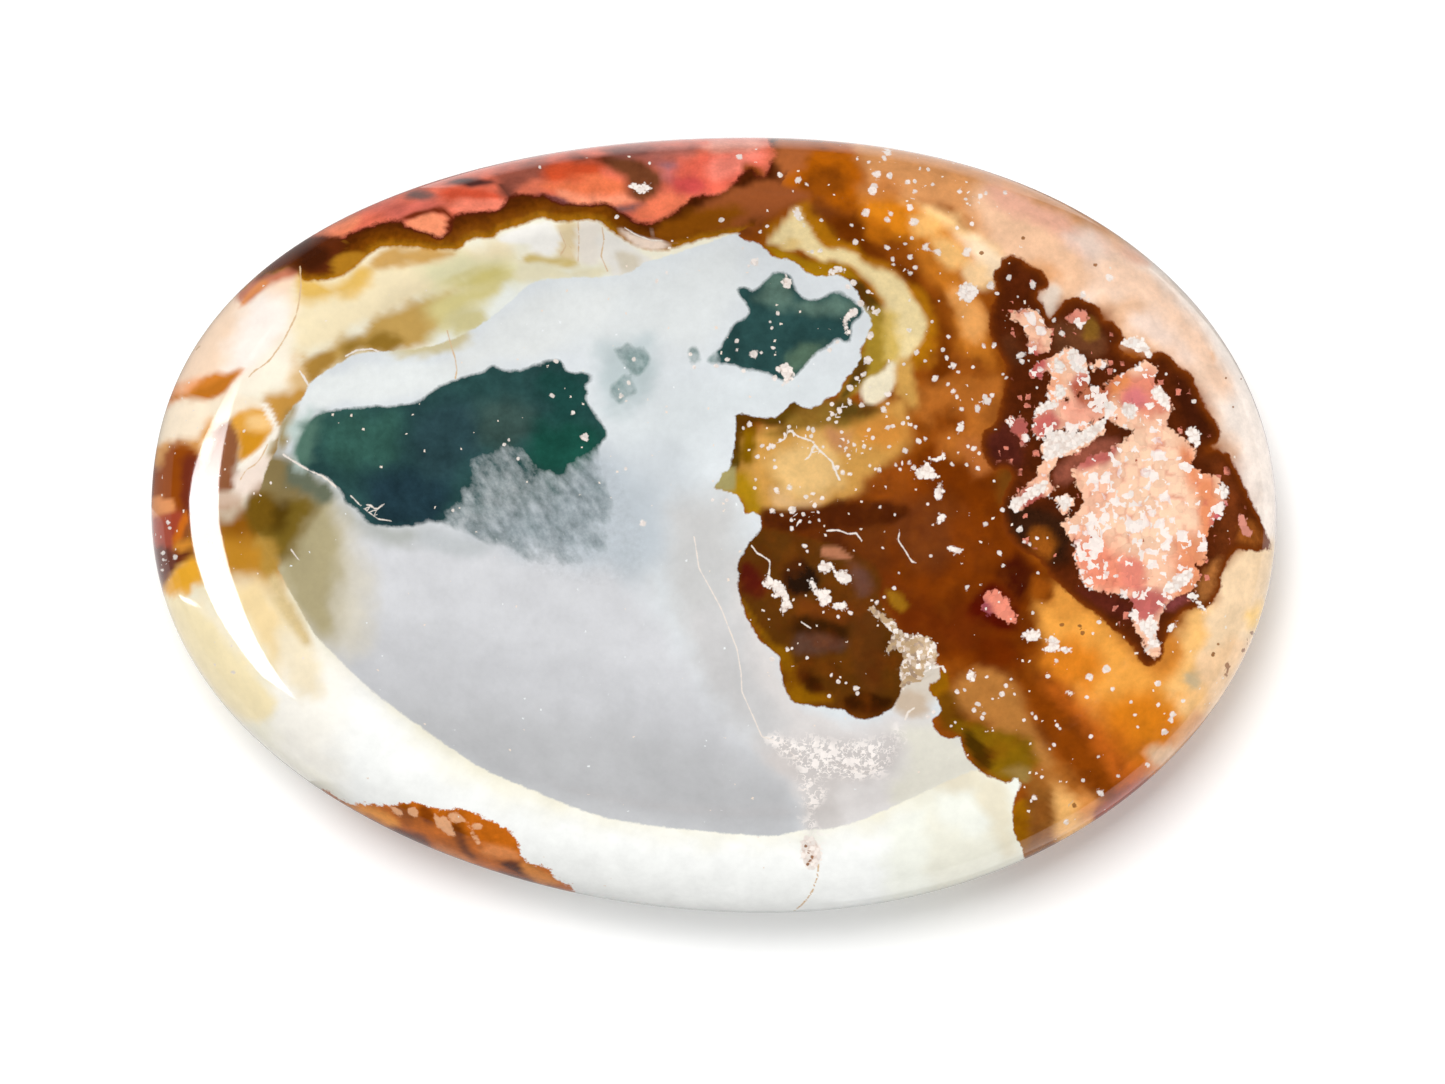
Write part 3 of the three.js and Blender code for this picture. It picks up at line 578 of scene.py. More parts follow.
tints["warmTint"] = [
    ((146, 74, 14), 1, []),
    ((128, 66, 26), 8, [(640, 240), (700, 200), (760, 180), (800, 185), (835, 200), (850, 225), (838, 240), (815, 215),
        (797, 203), (745, 235), (700, 245)]),
    ((190, 106, 52), 9, [(770, 140), (802, 142), (796, 165), (782, 178), (768, 178), (778, 160)]),
    ((182, 94, 8), 9, [(800, 160), (815, 143), (850, 140), (868, 148), (866, 180), (850, 212), (825, 202), (790, 196),
        (770, 200), (780, 180)]),
    ((150, 76, 10), 8, [(800, 180), (830, 168), (850, 180), (830, 198), (805, 196)]),
    # tan, peach and beige to the east
    ((214, 148, 92), 10, [(858, 130), (862, 160), (880, 200), (940, 205), (960, 215), (985, 240), (1010, 250),
        (1060, 290), (1200, 200), (1000, 120)]),
    ((196, 124, 66), 8, [(862, 184), (890, 176), (900, 196), (880, 204), (862, 198)]),
    ((236, 190, 154), 14, [(975, 200), (1000, 190), (1110, 240), (1130, 215), (1400, 300), (1400, 480), (1230, 450),
        (1210, 400), (1180, 360), (1125, 345), (1110, 315), (1060, 300), (1048, 268), (1000, 262), (985, 245)]),
    ((234, 176, 150), 9, [(990, 180), (1060, 215), (1120, 255), (1100, 262), (1040, 225), (990, 200)]),
    ((232, 206, 190), 9, [(1062, 235), (1085, 228), (1120, 262), (1108, 278), (1085, 262)]),
    # the east rim: the stone's pale pink, made paler as painted light for the side the lamps leave dim
    ((255, 240, 228), 16, [(1090, 300), (1140, 284), (1190, 345), (1240, 470), (1262, 552), (1400, 552), (1400, 300),
        (1250, 240), (1150, 240)]),
    ((186, 144, 70), 5, [(868, 312), (882, 310), (886, 330), (876, 340), (868, 330)]),
    ((248, 220, 202), 10, [(1128, 318), (1160, 308), (1190, 330), (1204, 356), (1190, 364), (1168, 347),
        (1146, 336)]),
    ((236, 174, 118), 3, [(1204, 350), (1212, 352), (1216, 360), (1211, 365), (1204, 359)]),
    ((244, 206, 178), 13, [(1096, 258), (1140, 264), (1190, 316), (1236, 384), (1214, 392), (1186, 346), (1140, 302),
        (1096, 292)]),
    ((236, 190, 165), 6, [(1110, 240), (1135, 248), (1150, 264), (1128, 262)]),
    ((230, 210, 192), 6, [(1038, 296), (1050, 284), (1062, 290), (1060, 302), (1052, 316), (1044, 310)]),
    # honey and orange arcs
    ((255, 208, 144), 10, [(905, 205), (945, 210), (975, 232), (998, 255), (990, 285), (965, 275), (945, 248),
        (920, 228)]),
    ((255, 226, 190), 8, [(950, 235), (985, 240), (1002, 262), (994, 276), (975, 278), (958, 262)]),
    ((222, 130, 24), 10, [(866, 198), (900, 202), (935, 218), (960, 242), (975, 268), (960, 272), (905, 232),
        (880, 224), (862, 212)]),
    ((222, 132, 26), 8, [(868, 208), (890, 208), (912, 226), (905, 238), (885, 228)]),
    ((206, 122, 36), 9, [(912, 240), (938, 250), (966, 280), (986, 330), (995, 380), (998, 440), (978, 425),
        (962, 380), (956, 330), (944, 298), (922, 268)]),
    ((234, 164, 92), 8, [(950, 288), (972, 297), (984, 313), (985, 332), (975, 344), (963, 334)]),
    ((156, 82, 22), 8, [(940, 352), (964, 354), (984, 360), (996, 376), (984, 386), (930, 374), (926, 364)]),
    ((112, 50, 4), 8, [(835, 208), (862, 225), (880, 250), (905, 268), (925, 292), (944, 325), (955, 360), (952, 400),
        (928, 405), (926, 380), (935, 365), (940, 338), (932, 300), (885, 262), (862, 256), (842, 242), (825, 222)]),
    ((180, 104, 38), 9, [(912, 390), (960, 380), (1003, 380), (1000, 420), (985, 430), (960, 420), (930, 430)]),
    ((200, 112, 18), 7, [(866, 222), (884, 222), (892, 236), (878, 240), (866, 234)]),
    ((248, 186, 108), 8, [(912, 218), (934, 220), (940, 234), (920, 236)]),
    ((254, 212, 158), 7, [(962, 262), (984, 268), (984, 286), (968, 288)]),
    ((252, 196, 122), 8, [(934, 240), (956, 242), (966, 260), (952, 268), (938, 258)]),
    # the cream hook, with its amber and olive edges
    ((184, 118, 14), 7, [(797, 203), (810, 208), (822, 218), (843, 243), (856, 247), (864, 258), (885, 263),
        (926, 297), (933, 312), (937, 332), (930, 360), (921, 367), (910, 364), (880, 300), (850, 270), (832, 262),
        (815, 262), (800, 250), (766, 240), (775, 225), (788, 216)]),
    ((168, 120, 14), 3.5, [(766, 246), (785, 250), (815, 261), (832, 262), (848, 266), (858, 284), (842, 278),
        (820, 279), (805, 274), (792, 262), (778, 260)]),
    ((90, 62, 16), 4, [(848, 280), (862, 282), (872, 292), (882, 308), (884, 322), (876, 330)]),
    ((176, 164, 128), 3, [(858, 304), (866, 309), (872, 318), (872, 328), (864, 332), (858, 322)]),
    ((166, 134, 44), 6, [(866, 326), (876, 306), (884, 318), (890, 335), (892, 362), (880, 376), (864, 384),
        (852, 396), (842, 396), (860, 362)]),
    ((84, 62, 18), 4, [(860, 360), (868, 368), (850, 394), (842, 398), (846, 384)]),
    ((238, 216, 162), 4, [(770, 240), (797, 206), (803, 222), (824, 246), (842, 248), (855, 253), (863, 263),
        (893, 273), (924, 316), (924, 332), (918, 347), (906, 362), (893, 362), (886, 308), (877, 291), (850, 264),
        (812, 257), (800, 248), (776, 244)]),
    ((228, 196, 130), 3, [(783, 250), (788, 238), (800, 240), (796, 250)]),
    ((214, 182, 96), 7, [(884, 312), (896, 318), (900, 345), (894, 362), (884, 350)]),
    ((242, 230, 200), 3, [(861, 388), (868, 378), (880, 374), (888, 362), (894, 361), (899, 372), (898, 382),
        (880, 402), (868, 405), (861, 398)]),
    ((208, 158, 80), 6, [(898, 366), (912, 364), (916, 408), (903, 400), (895, 388)]),
    # the honey bay west of the brown
    ((208, 154, 76), 10, [(742, 440), (830, 408), (860, 416), (896, 400), (908, 412), (908, 440), (896, 458),
        (882, 470), (876, 486), (850, 498), (800, 510), (775, 514), (755, 512), (742, 496), (725, 488), (736, 470)]),
    ((92, 66, 12), 3.5, [(732, 412), (760, 416), (780, 413), (794, 400), (806, 408), (798, 424), (780, 428),
        (748, 426), (740, 465), (728, 470), (728, 450), (732, 435)]),
    ((146, 110, 42), 6, [(795, 412), (830, 400), (852, 402), (880, 412), (862, 424), (840, 428), (820, 426),
        (800, 430), (782, 438), (764, 434), (780, 426)]),
    ((92, 68, 22), 5, [(838, 400), (880, 408), (868, 418), (848, 420), (836, 412)]),
    ((140, 100, 4), 4, [(744, 430), (756, 428), (756, 450), (750, 466), (742, 460)]),
    ((172, 130, 16), 6, [(720, 478), (742, 468), (756, 488), (764, 512), (748, 514), (738, 500), (724, 492)]),
    ((166, 154, 100), 3, [(718, 472), (733, 468), (736, 480), (732, 492), (713, 487)]),
    ((230, 188, 122), 12, [(772, 462), (795, 442), (822, 440), (838, 458), (838, 480), (822, 496), (800, 500),
        (780, 490)]),
    ((222, 178, 122), 6, [(772, 488), (800, 500), (826, 496), (818, 506), (792, 510), (774, 506)]),
    ((204, 136, 58), 12, [(858, 426), (890, 414), (908, 422), (902, 440), (884, 450), (865, 446)]),
    ((200, 140, 90), 6, [(828, 424), (848, 436), (850, 455), (836, 448), (826, 436)]),
    # the brown heart
    ((120, 52, 4), 8, [(765, 516), (800, 512), (850, 500), (912, 460), (935, 438), (962, 428), (985, 450), (1000, 480),
        (1003, 520), (1040, 560), (1060, 590), (1045, 640), (1000, 668), (950, 662), (910, 640), (850, 560),
        (800, 545), (765, 540)]),
    ((148, 72, 14), 9, [(868, 478), (905, 462), (915, 478), (905, 498), (870, 502)]),
    ((192, 112, 42), 9, [(944, 412), (955, 412), (985, 430), (990, 460), (945, 450)]),
    ((180, 104, 48), 9, [(958, 440), (985, 440), (995, 465), (975, 475)]),
    ((112, 54, 18), 14, [(890, 510), (930, 495), (960, 508), (962, 550), (930, 570), (896, 552)]),
    ((84, 36, 10), 8, [(815, 530), (870, 528), (880, 548), (850, 556), (815, 548)]),
    ((106, 50, 12), 10, [(860, 520), (885, 510), (890, 560), (870, 575), (850, 550)]),
    ((126, 56, 6), 12, [(950, 520), (1000, 525), (1005, 560), (970, 575)]),
    ((76, 30, 6), 5, [(765, 509), (800, 510), (850, 501), (905, 506), (900, 520), (850, 530), (800, 532),
        (768, 530)]),
    ((106, 42, 6), 14, [(860, 570), (930, 600), (980, 600), (985, 640), (930, 650), (890, 620)]),
    ((160, 84, 18), 7, [(1022, 532), (1042, 528), (1056, 545), (1048, 560), (1030, 556)]),
    ((112, 64, 16), 8, [(1000, 470), (1030, 458), (1042, 470), (1020, 490), (1000, 500)]),
    ((66, 16, 6), 8, [(994, 574), (1014, 557), (1030, 562), (1034, 584), (1022, 600), (1008, 592)]),
    ((84, 16, 4), 6, [(972, 600), (985, 586), (1000, 584), (1014, 600), (1022, 618), (1012, 632), (990, 626),
        (974, 618)]),
    # the dark blob
    ((92, 52, 10), 3, [(738, 540), (770, 528), (860, 556), (880, 580), (880, 600), (903, 640), (906, 680), (895, 712),
        (870, 724), (843, 714), (790, 702), (782, 681), (778, 656), (760, 640), (732, 583), (732, 560)]),
    ((36, 20, 10), 4, [(785, 572), (790, 562), (799, 558), (810, 566), (818, 580), (812, 592), (798, 598),
        (785, 588)]),
    ((84, 20, 12), 5, [(744, 564), (758, 572), (768, 590), (756, 598), (742, 588)]),
    ((58, 30, 6), 7, [(792, 612), (830, 612), (850, 625), (846, 645), (820, 650), (796, 645)]),
    ((92, 50, 14), 7, [(852, 610), (876, 612), (886, 650), (880, 690), (862, 690), (850, 650)]),
    ((112, 56, 14), 6, [(800, 596), (830, 606), (850, 600), (862, 612), (845, 622), (815, 618), (800, 610)]),
    ((92, 62, 48), 5, [(795, 640), (815, 632), (845, 640), (842, 650), (800, 654)]),
    ((104, 66, 52), 5, [(850, 560), (866, 572), (872, 590), (862, 596), (852, 580)]),
    ((142, 92, 6), 4, [(742, 600), (772, 642), (788, 650), (802, 690), (828, 694), (828, 702), (788, 700), (782, 664),
        (764, 644)]),
    ((56, 26, 4), 5, [(800, 668), (815, 676), (822, 690), (806, 688)]),
    ((56, 26, 4), 4, [(845, 698), (870, 694), (893, 698), (888, 709), (866, 714), (850, 710)]),
    ((182, 118, 84), 2, [(820, 546), (838, 548), (852, 558), (838, 559), (824, 556)]),
    ((150, 96, 6), 3, [(928, 683), (944, 672), (950, 690), (946, 700), (934, 697)]),
    ((112, 68, 8), 5, [(936, 700), (960, 690), (968, 720), (960, 732), (946, 730), (938, 716)]),
    ((160, 110, 20), 4, [(888, 590), (900, 596), (908, 606), (900, 612), (890, 602)]),
    ((104, 38, 4), 8, [(980, 640), (1010, 640), (1022, 668), (1000, 678), (982, 664)]),
    # the south-east
    ((238, 162, 70), 12, [(1046, 584), (1086, 600), (1152, 668), (1175, 650), (1200, 700), (1170, 760), (1130, 790),
        (1104, 760), (1082, 722), (1060, 662), (1038, 628)]),
    ((222, 148, 62), 7, [(1058, 590), (1072, 594), (1080, 608), (1068, 622), (1054, 612)]),
    ((222, 130, 34), 10, [(1046, 650), (1075, 640), (1100, 660), (1092, 690), (1070, 686), (1050, 670)]),
    ((246, 190, 116), 11, [(1178, 652), (1182, 622), (1205, 606), (1235, 620), (1235, 670), (1215, 695), (1188, 700),
        (1170, 686)]),
    ((218, 126, 26), 16, [(1110, 700), (1160, 695), (1190, 720), (1180, 745), (1150, 785), (1115, 790), (1095, 750)]),
    ((184, 122, 58), 9, [(958, 684), (985, 664), (1004, 672), (1022, 690), (1032, 720), (1062, 768), (1090, 800),
        (1100, 830), (1060, 842), (1052, 800), (1036, 765), (1012, 738), (978, 724), (958, 704)]),
    ((242, 182, 108), 9, [(1060, 780), (1090, 790), (1112, 808), (1100, 834), (1062, 846), (1052, 810)]),
    ((132, 96, 10), 6, [(956, 722), (1018, 734), (1034, 750), (1036, 768), (1002, 780), (984, 770), (968, 748)]),
    ((74, 48, 4), 4, [(964, 728), (978, 736), (992, 756), (988, 770), (976, 760), (966, 746)]),
    ((196, 98, 26), 20, [(1040, 690), (1085, 700), (1160, 790), (1120, 820), (1085, 780)]),
    ((134, 62, 6), 9, [(1000, 658), (1055, 700), (1086, 736), (1108, 770), (1125, 800), (1105, 822), (1040, 728),
        (1022, 690)]),
    ((170, 98, 34), 8, [(1054, 764), (1072, 770), (1084, 792), (1068, 796), (1056, 782)]),
    ((108, 40, 2), 7, [(982, 646), (1008, 644), (1014, 662), (1000, 670), (984, 664)]),
    ((246, 194, 130), 9, [(1174, 698), (1202, 692), (1206, 716), (1184, 722)]),
    ((222, 160, 106), 6, [(1176, 730), (1196, 712), (1206, 722), (1190, 744), (1176, 748)]),
    ((222, 144, 72), 8, [(1080, 796), (1096, 794), (1104, 812), (1088, 822), (1076, 812)]),
    ((150, 76, 14), 8, [(1032, 576), (1052, 582), (1050, 602), (1034, 600)]),
    ((140, 68, 12), 8, [(934, 412), (962, 412), (964, 432), (936, 432)]),
    ((206, 128, 48), 8, [(1150, 646), (1176, 640), (1180, 668), (1156, 676)]),
    ((148, 92, 36), 6, [(1026, 796), (1040, 772), (1052, 800), (1054, 840), (1040, 870), (1015, 880)]),
    ((158, 100, 6), 3, [(1014, 806), (1026, 800), (1030, 825), (1026, 856), (1014, 860), (1010, 830)]),
    ((150, 120, 62), 5, [(1004, 770), (1020, 766), (1028, 770), (1028, 780), (1020, 782)]),
    ((168, 70, 40), 5, [(1096, 808), (1150, 778), (1150, 800), (1110, 830)]),
    ((246, 214, 174), 8, [(1234, 552), (1300, 548), (1300, 640), (1240, 660), (1200, 662), (1204, 640)]),
    ((244, 204, 160), 9, [(1200, 655), (1300, 630), (1300, 700), (1220, 722), (1206, 700)]),
    ((250, 204, 124), 6, [(1244, 618), (1258, 604), (1300, 600), (1280, 640), (1254, 632)]),
    ((206, 180, 140), 3, [(1184, 676), (1192, 672), (1202, 682), (1198, 690), (1190, 688)]),
    ((220, 178, 140), 6, [(1146, 752), (1156, 744), (1176, 750), (1166, 768), (1152, 766)]),
]
tints["maroonTint"] = [
    ((84, 34, 10), 1, []),
    ((140, 76, 58), 5, [(1056, 466), (1104, 438), (1124, 444), (1062, 484)]),
    ((84, 34, 24), 9, [(982, 425), (1008, 426), (1024, 440), (1022, 462), (1002, 468), (986, 456)]),
    ((54, 28, 14), 10, [(1006, 500), (1068, 518), (1070, 552), (1050, 568), (1024, 556), (1008, 535)]),
    ((144, 78, 20), 5, [(1028, 532), (1045, 528), (1058, 545), (1048, 558), (1034, 554)]),
    ((108, 62, 36), 7, [(1052, 322), (1090, 328), (1104, 345), (1090, 358), (1060, 352)]),
    ((126, 86, 30), 4, [(1084, 320), (1096, 318), (1098, 336), (1086, 338)]),
    ((66, 26, 10), 9, [(1176, 376), (1192, 392), (1206, 430), (1196, 440), (1176, 400)]),
    ((112, 52, 20), 9, [(1202, 456), (1222, 462), (1238, 500), (1236, 540), (1218, 560), (1216, 520), (1224, 490)]),
    ((92, 36, 24), 7, [(1080, 588), (1130, 602), (1132, 622), (1092, 604)]),
    ((122, 58, 56), 5, [(1160, 604), (1180, 594), (1190, 598), (1174, 612)]),
    ((150, 82, 30), 4, [(1240, 526), (1256, 520), (1276, 540), (1262, 552), (1240, 548)]),
    ((160, 98, 48), 5, [(1204, 570), (1222, 560), (1222, 590), (1206, 606), (1196, 600)]),
    ((92, 46, 22), 7, [(1000, 338), (1016, 336), (1022, 356), (1010, 372), (1000, 360)]),
]
tints["pinkTint"] = [
    ((248, 196, 164), 1, []),
    ((252, 208, 176), 16, [(1120, 436), (1168, 432), (1190, 460), (1200, 500), (1190, 550), (1120, 540),
        (1090, 500)]),
    ((226, 136, 110), 9, [(1118, 380), (1150, 372), (1168, 392), (1160, 415), (1130, 412)]),
    ((228, 146, 104), 9, [(1176, 540), (1206, 545), (1202, 590), (1176, 596)]),
    ((240, 146, 116), 12, [(1074, 545), (1100, 540), (1140, 575), (1130, 592), (1100, 592), (1080, 576)]),
    ((236, 140, 120), 7, [(1122, 560), (1142, 562), (1140, 590), (1122, 585)]),
    ((246, 190, 160), 9, [(1088, 470), (1115, 470), (1112, 510), (1088, 520)]),
    ((228, 142, 98), 8, [(1176, 440), (1186, 444), (1200, 472), (1218, 480), (1218, 540), (1204, 548), (1196, 500)]),
    ((190, 100, 92), 5, [(1060, 462), (1104, 450), (1116, 444), (1120, 452), (1104, 464), (1080, 470)]),
    ((206, 100, 110), 5, [(1214, 510), (1226, 500), (1232, 510), (1222, 526), (1212, 524)]),
    ((196, 104, 98), 6, [(1124, 600), (1140, 590), (1164, 592), (1170, 604), (1154, 618), (1136, 620)]),
    ((176, 92, 84), 6, [(1006, 418), (1030, 418), (1030, 448), (1008, 440)]),
    ((200, 104, 96), 6, [(1032, 420), (1050, 412), (1062, 424), (1050, 436), (1036, 440)]),
    ((176, 88, 78), 5, [(1020, 488), (1036, 486), (1048, 500), (1036, 512), (1022, 510)]),
    ((244, 172, 146), 7, [(1060, 404), (1090, 398), (1104, 410), (1098, 420), (1070, 428)]),
    ((246, 178, 140), 5, [(1046, 378), (1060, 374), (1060, 396), (1048, 398)]),
    ((200, 104, 104), 5, [(1074, 378), (1090, 374), (1092, 388), (1078, 396)]),
    ((198, 96, 98), 4, [(1028, 364), (1044, 360), (1044, 378), (1032, 380)]),
    ((214, 120, 120), 5, [(1126, 392), (1140, 388), (1148, 400), (1138, 408), (1126, 404)]),
    ((226, 140, 84), 5, [(1108, 380), (1122, 372), (1130, 382), (1118, 396), (1106, 396)]),
    ((176, 88, 62), 7, [(1072, 382), (1104, 382), (1112, 396), (1100, 406), (1080, 404)]),
    ((214, 136, 116), 5, [(1060, 308), (1092, 308), (1092, 328), (1060, 328)]),
    ((190, 92, 84), 6, [(1010, 340), (1030, 344), (1044, 356), (1036, 366), (1014, 356)]),
    ((236, 142, 118), 3, [(980, 586), (1020, 586), (1020, 628), (980, 628)]),
    ((150, 72, 82), 4, [(978, 600), (988, 602), (994, 616), (984, 620)]),
    ((216, 142, 124), 4, [(1234, 510), (1256, 510), (1256, 540), (1234, 540)]),
    ((188, 112, 80), 5, [(1082, 388), (1098, 384), (1104, 394), (1098, 406), (1084, 402)]),
]
tints["rustTint"] = [
    ((198, 104, 22), 1, []),
    ((232, 150, 60), 4, [(344, 804), (372, 806), (392, 818), (400, 826), (380, 822), (355, 812)]),
    ((150, 76, 8), 4, [(395, 806), (410, 806), (416, 820), (404, 826), (398, 818)]),
    ((140, 66, 10), 3, [(420, 806), (432, 810), (436, 824), (424, 826)]),
    ((116, 56, 12), 4, [(450, 826), (462, 824), (470, 850), (476, 858), (466, 856), (456, 842)]),
    ((226, 138, 72), 4, [(480, 848), (498, 844), (514, 852), (516, 860), (484, 856)]),
    ((90, 38, 6), 4, [(500, 862), (520, 864), (545, 876), (540, 882), (515, 874)]),
    ((126, 70, 48), 4, [(384, 828), (410, 830), (430, 844), (420, 850), (396, 838)]),
    ((222, 134, 66), 4, [(440, 846), (465, 856), (470, 866), (450, 862), (436, 854)]),
    ((124, 66, 40), 4, [(500, 870), (530, 880), (540, 890), (510, 886)]),
    ((220, 136, 56), 3, [(524, 864), (548, 873), (560, 884), (545, 886), (528, 876)]),
]

# Amounts that fade the same way, each from 0 to 1: how much frost lies over the green, how many pale specks there are,
# and how many of the pink crumbs are chalky
amounts = {}
amounts["frost"] = [
    (0, 1, []),
    (0.45, 8, [(440, 516), (462, 492), (468, 466), (482, 450), (512, 444), (556, 474), (566, 462), (604, 446),
        (660, 440), (700, 600), (420, 600)]),
    (0.55, 12, [(448, 522), (500, 478), (560, 480), (600, 450), (660, 440), (700, 600), (420, 600)]),
    (0.62, 14, [(430, 532), (480, 524), (520, 505), (560, 495), (600, 462), (680, 440), (700, 600), (420, 600)]),
    (0.76, 16, [(430, 545), (500, 548), (560, 540), (610, 510), (640, 450), (700, 440), (720, 620), (420, 620)]),
    (1.1, 13, [(420, 528), (450, 534), (500, 556), (560, 566), (606, 548), (616, 505), (602, 468), (612, 440),
        (700, 440), (720, 640), (420, 640)]),
    (0.6, 4, [(600, 336), (710, 336), (710, 406), (600, 406)]),
]
amounts["specks"] = [
    (0.02, 1, []),
    (0.12, 30, [(760, 200), (850, 150), (1000, 180), (1060, 300), (1010, 420), (1050, 560), (1240, 560), (1230, 720),
        (1050, 850), (940, 700), (740, 640), (735, 440)]),
    (0.09, 30, [(560, 260), (740, 250), (730, 480), (700, 560), (600, 520), (560, 400)]),
    (0.07, 10, [(300, 410), (600, 360), (600, 450), (440, 520), (330, 490)]),
    (0.2, 16, [(150, 400), (240, 400), (240, 580), (150, 580)]),
    (0.14, 20, [(740, 520), (900, 560), (900, 700), (790, 700)]),
    (0.05, 20, [(1100, 240), (1220, 330), (1290, 480), (1290, 620), (1240, 560), (1230, 440)]),
]
amounts["chalk"] = [
    (0.1, 1, []),
    (0.3, 14, [(1116, 470), (1150, 468), (1170, 500), (1176, 560), (1140, 555), (1112, 530)]),
    (0.42, 8, [(1074, 520), (1100, 516), (1104, 548), (1078, 545)]),
    (0.42, 8, [(1076, 554), (1098, 552), (1100, 575), (1082, 576)]),
    (0.25, 8, [(1160, 570), (1200, 566), (1200, 596), (1160, 600)]),
    (0.2, 8, [(1004, 330), (1040, 322), (1100, 350), (1120, 380), (1180, 372), (1200, 440), (1170, 420), (1100, 425),
        (1060, 440), (1020, 500), (1000, 470), (1010, 420)]),
    (0.06, 6, [(1118, 380), (1150, 376), (1158, 404), (1140, 412), (1120, 406)]),
    (0, 6, [(976, 584), (1022, 584), (1022, 632), (976, 632)]),
]

# Small single-coloured patches that lie over whatever is under them: colour, fade, outline
patches = [
    ((84, 118, 104), 7, [(292, 452), (298, 434), (308, 420), (322, 414), (314, 446), (306, 462)]),
    ((92, 40, 14), 5, [(252, 282), (270, 262), (290, 247), (312, 238), (342, 238), (340, 256), (330, 272), (312, 277),
        (296, 270), (280, 268), (266, 278)]),
    ((84, 38, 6), 6, [(284, 246), (300, 240), (316, 244), (312, 266), (292, 266)]),
    ((66, 28, 10), 4, [(298, 250), (316, 246), (330, 252), (322, 268), (304, 270)]),
    ((172, 118, 30), 4, [(332, 262), (350, 252), (362, 256), (350, 268), (336, 276)]),
    ((176, 98, 50), 7, [(776, 136), (808, 138), (806, 160), (796, 172), (780, 174)]),
    ((112, 82, 20), 8, [(246, 502), (262, 494), (276, 502), (274, 524), (262, 538), (248, 530)]),
    ((178, 138, 62), 8, [(256, 540), (268, 540), (278, 562), (276, 578), (262, 570)]),
    # a pale strip along the left lip of the hollow: painted highlight
    ((214, 190, 140), 7, [(268, 584), (280, 580), (310, 636), (300, 640)]),
    ((150, 80, 40), 6, [(700, 207), (760, 180), (800, 190), (800, 203), (740, 225), (705, 225)]),
    ((134, 74, 10), 6, [(655, 228), (690, 212), (730, 205), (745, 215), (720, 228), (690, 236), (660, 238)]),
    ((236, 214, 196), 2, [(620, 228), (640, 236), (660, 241), (667, 246), (655, 250), (640, 248), (628, 240)]),
]

